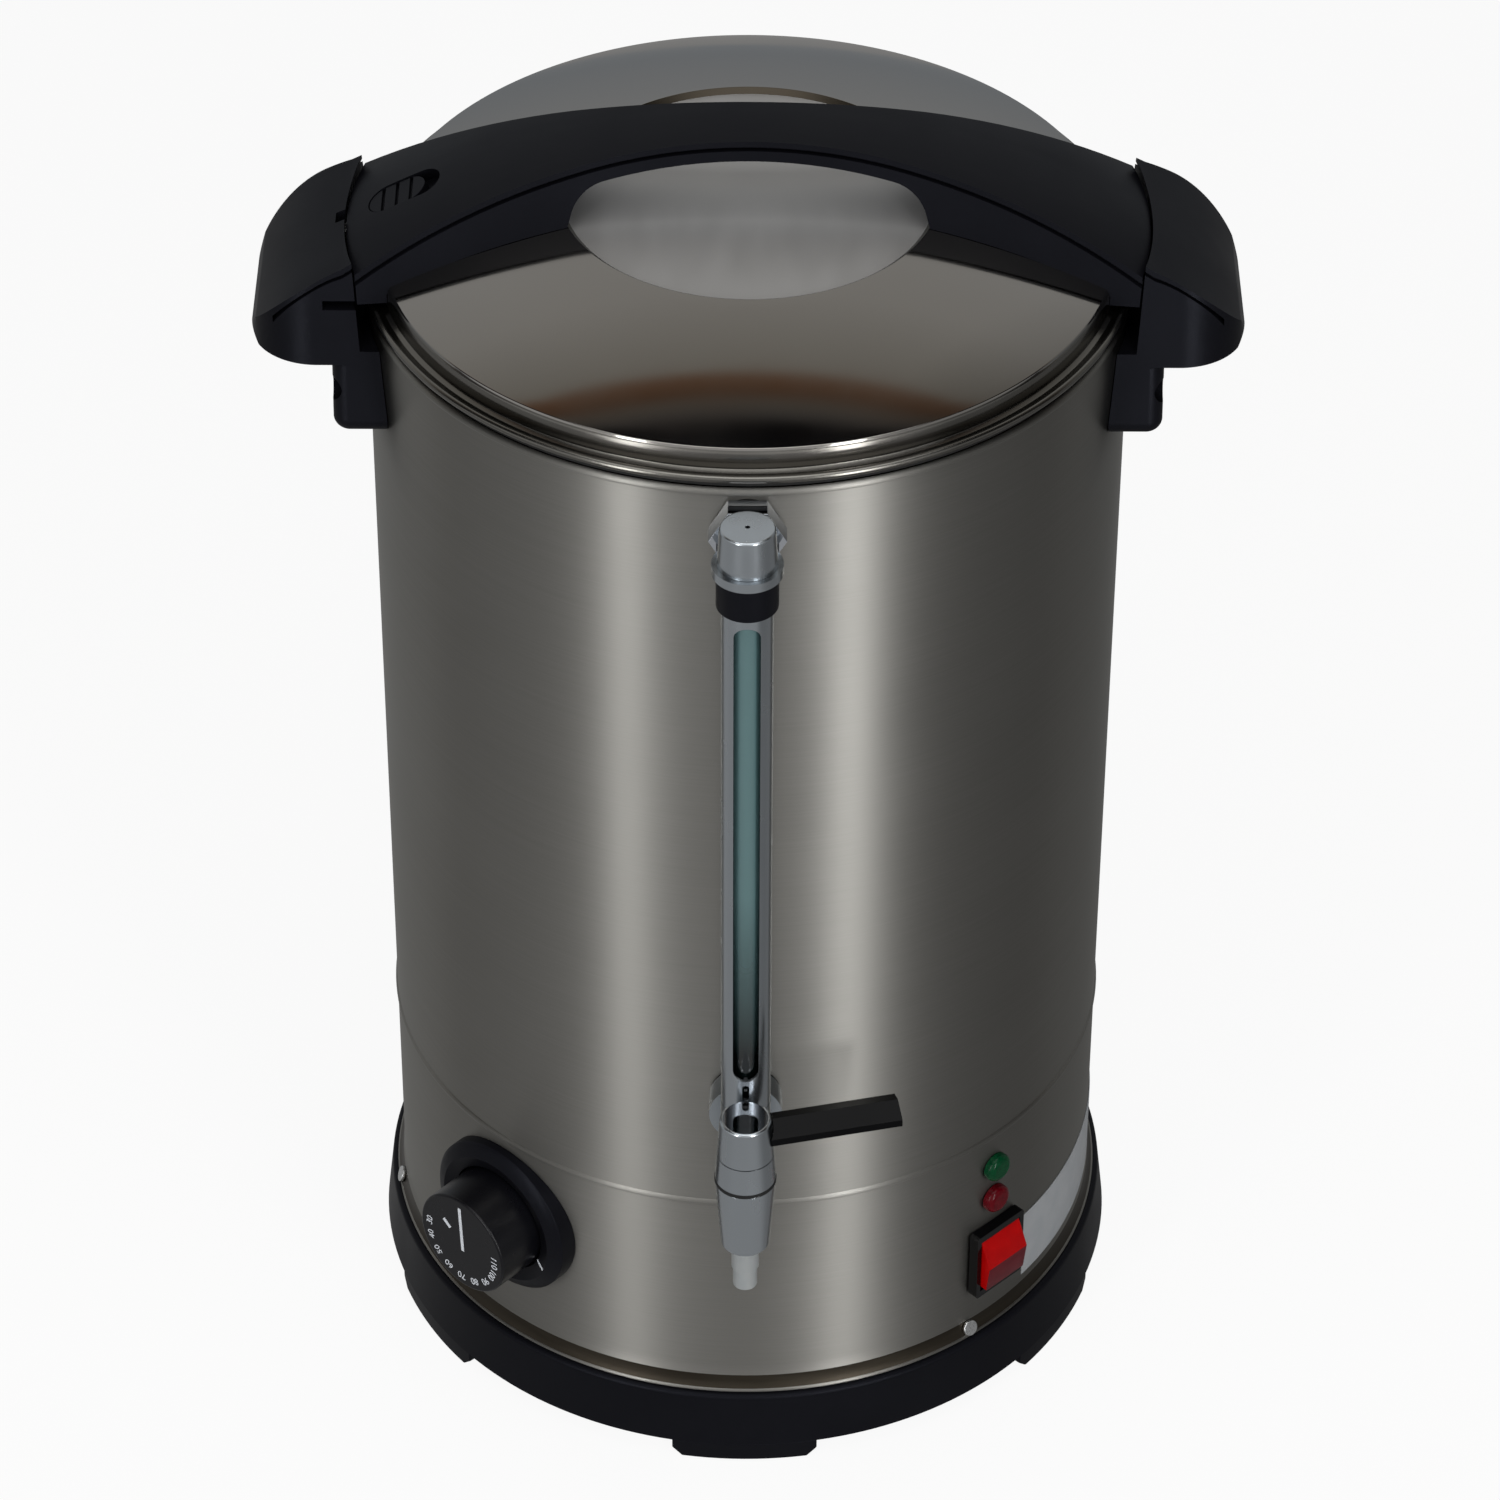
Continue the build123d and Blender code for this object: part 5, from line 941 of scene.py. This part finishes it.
def round_disc(face):
    in_ring = mm(DISC_R - DISC_WALL) < from_axis(face) < mm(DISC_R + 0.2)
    return in_ring and face.normal.z < LEVEL


def low_on_rocker(face):
    return face.center.z < mm(ROCKER_MIDDLE)


def on_flare(face):
    return mm(DARK_FROM_Z) < face.center.z < mm(DARK_TO_Z)


def on_lid_edge(face):
    return from_axis(face) > mm(DOME_R + 0.2) and face.center.z < mm(DOME_EDGE)


def inside_tank(face):
    outward = Vector((face.center.x, face.center.y, 0)).normalized()
    return face.normal.dot(outward) < FACING_IN


def tap_top(face):
    return face.normal.z > FACING_UP and face.center.z > mm(TAP_TOP_Z)


# The lid's edge, the disc's wall, the flare and the rocker's lower half get painted shade.
print("disc", refinish(lid, satin, on_disc), "edge", refinish(lid, rolled_edge_painted_dark, on_lid_edge),
      "disc wall", refinish(lid, painted_shade_steel, round_disc))
print("flare", refinish(jacket, painted_shade_steel, on_flare), "inside", refinish(jacket, mill, inside_tank),
      "tap top", refinish(dressed["tap_head"], mirror_chrome, tap_top),
      "rocker", refinish(dressed["switch_rocker"], red_painted_shade, low_on_rocker))

# %% [markdown]
# ## The table and the light
#
# The urn stands on a large pale sheet. Metal shows whatever is round it, so the floor and the room
# matter as much as the lamps.
# For the camera the sheet is nearly white, and only a little of the lamps' light is mixed in, which
# keeps the urn's soft shadow. Metal sees the same sheet dimmer, and darker still to the right, a
# painted reflection that gives the drum its dark flank.

# %% Sideways darkness
SIDES = [(0.0, 0.98), (0.04, 0.92), (0.17, 0.94), (0.26, 1.0), (0.4, 1.0), (0.6, 1.0),
         (0.76, 0.95), (0.86, 0.58), (0.97, 0.54), (1.0, 0.58)]


def side_shade(tree, place, output):
    """A strength by the way sideways, from the left, 0, to the right, 1, of a place or a direction."""
    level = add_node(tree, "ShaderNodeVectorMath", {"operation": "MULTIPLY", 1: (1, 1, 0)},
                     {0: (place, output)})
    round_about = add_node(tree, "ShaderNodeVectorMath", {"operation": "NORMALIZE"}, {0: (level, 0)})
    parts = add_node(tree, "ShaderNodeSeparateXYZ", {}, {0: (round_about, 0)})
    aside = add_node(tree, "ShaderNodeMath", {"operation": "MULTIPLY_ADD", 1: 0.5, 2: 0.5},
                     {0: (parts, "X")})
    shade = add_node(tree, "ShaderNodeValToRGB", {}, {"Fac": (aside, 0)})
    fill_ramp(shade.color_ramp, [(spot, (value, value, value, 1)) for spot, value in SIDES])
    return shade


def fill_ramp(ramp, stops):
    """Gives a colour ramp its stops, as (position, linear colour) pairs."""
    while len(ramp.elements) < len(stops):
        ramp.elements.new(1.0)
    for element, (position, colour) in zip(ramp.elements, stops):
        element.position = position
        element.color = colour


print("sideways tones:", len(SIDES))

# %% Floor
FLOOR_SIZE = 14.0
PAPER_GLOW = 0.92
PAPER_IN_METAL = 0.38
deselect()
bpy.ops.mesh.primitive_plane_add(size=FLOOR_SIZE)
floor = bpy.context.active_object
floor.name = floor.data.name = "paper_floor"
paper = bpy.data.materials.new("matt_white_paper")
paper.use_nodes = True
tree = paper.node_tree
tree.nodes.clear()
place = add_node(tree, "ShaderNodeTexCoord")
seen = add_node(tree, "ShaderNodeLightPath")
mirrored = add_node(tree, "ShaderNodeMath", {"operation": "MAXIMUM"},
                    {0: (seen, "Is Glossy Ray"), 1: (seen, "Is Transmission Ray")})
matt = add_node(tree, "ShaderNodeBsdfDiffuse", {"Color": srgb("E6E6E6")})
white = add_node(tree, "ShaderNodeEmission", {"Color": srgb("FFFFFF"), "Strength": 1.0})
camera_part = add_node(tree, "ShaderNodeMath", {"operation": "MULTIPLY", 1: PAPER_GLOW},
                       {0: (seen, "Is Camera Ray")})
for_camera = add_node(tree, "ShaderNodeMixShader", {},
                      {0: (camera_part, 0), 1: (matt, 0), 2: (white, 0)})
# Painted reflection: metal sees the sheet darker to the right, which gives the drum its dark flank.
aside = side_shade(tree, place, "Object")
dimmed = add_node(tree, "ShaderNodeMath", {"operation": "MULTIPLY", 1: PAPER_IN_METAL},
                  {0: (aside, 0)})
in_metal = add_node(tree, "ShaderNodeEmission", {"Color": srgb("FFFFFF")}, {"Strength": (dimmed, 0)})
both = add_node(tree, "ShaderNodeMixShader", {},
                {0: (mirrored, 0), 1: (for_camera, 0), 2: (in_metal, 0)})
add_node(tree, "ShaderNodeOutputMaterial", {}, {"Surface": (both, 0)})
floor.data.materials.append(paper)
print("floor", FLOOR_SIZE, "m wide")

# %% [markdown]
# The room is drawn in the world, in bands that run level from side to side: pale from the horizon
# up, a brown beam across the ceiling behind the urn, dark straight above, and the pale front wall.
# The polished lid shows all of them. The bands follow the angle about the X axis, so they look
# straight on the dome.

# %% Room
room = bpy.data.worlds.new("room")
bpy.context.scene.world = room
room.use_nodes = True
tree = room.node_tree
tree.nodes.clear()
way = add_node(tree, "ShaderNodeTexCoord")
parts = add_node(tree, "ShaderNodeSeparateXYZ", {}, {0: (way, "Generated")})
slope = add_node(tree, "ShaderNodeMath", {"operation": "ARCTAN2"}, {0: (parts, "Z"), 1: (parts, "Y")})
half_turns = add_node(tree, "ShaderNodeMath", {"operation": "DIVIDE", 1: pi}, {0: (slope, 0)})
ceiling = add_node(tree, "ShaderNodeValToRGB", {}, {"Fac": (half_turns, 0)})
BANDS = [(0.0, "94999E"), (0.10, "B4B7BA"), (0.20, "CACBCB"), (0.30, "C2C1BE"), (0.368, "A6A39C"),
         (0.373, "84624A"), (0.388, "664C3A"), (0.394, "706A62"), (0.404, "5A5856"),
         (0.411, "101012"), (0.56, "101012"), (0.66, "848484"), (0.8, "D8D8D8"), (1.0, "E6E6E6")]
fill_ramp(ceiling.color_ramp, [(spot, srgb(code)) for spot, code in BANDS])
aside = side_shade(tree, way, "Generated")
walls = add_node(tree, "ShaderNodeBackground", {}, {"Color": (ceiling, 0), "Strength": (aside, 0)})
beyond = add_node(tree, "ShaderNodeBackground", {"Color": srgb("F8F8F8"), "Strength": 1.0})
looking = add_node(tree, "ShaderNodeLightPath")
either = add_node(tree, "ShaderNodeMixShader", {},
                  {0: (looking, "Is Camera Ray"), 1: (walls, 0), 2: (beyond, 0)})
add_node(tree, "ShaderNodeOutputWorld", {}, {"Surface": (either, 0)})
print("room drawn with", len(BANDS), "tones")

# %% [markdown]
# Two tall softboxes stand in front, left and right of the camera. Each draws one soft stripe down
# the brushed drum. A third hangs over the front of the urn and lights its lid, handles and shadow.

# %% Softboxes
def softbox(name, azimuth, height, far, wide, tall, watts):
    """A soft area lamp that looks at the middle of the urn."""
    turn = radians(azimuth)
    spot = Vector((sin(turn) * far, -cos(turn) * far, height))
    deselect()
    bpy.ops.object.light_add(type="AREA", location=spot)
    lamp = bpy.context.active_object
    lamp.name = lamp.data.name = name
    lamp.data.shape = "RECTANGLE"
    lamp.data.size = wide
    lamp.data.size_y = tall
    lamp.data.energy = watts
    lamp.rotation_euler = (Vector((0, 0, AIM_HEIGHT)) - spot).to_track_quat("-Z", "Y").to_euler()
    lamp.visible_camera = False
    return lamp


softbox("left_softbox", azimuth=-32, height=0.62, far=1.5, wide=0.2, tall=1.2, watts=6.5)
softbox("right_softbox", azimuth=27.5, height=0.62, far=1.5, wide=0.22, tall=1.2, watts=9.5)
softbox("top_softbox", azimuth=0, height=1.9, far=0.5, wide=1.6, tall=1.2, watts=12.0)
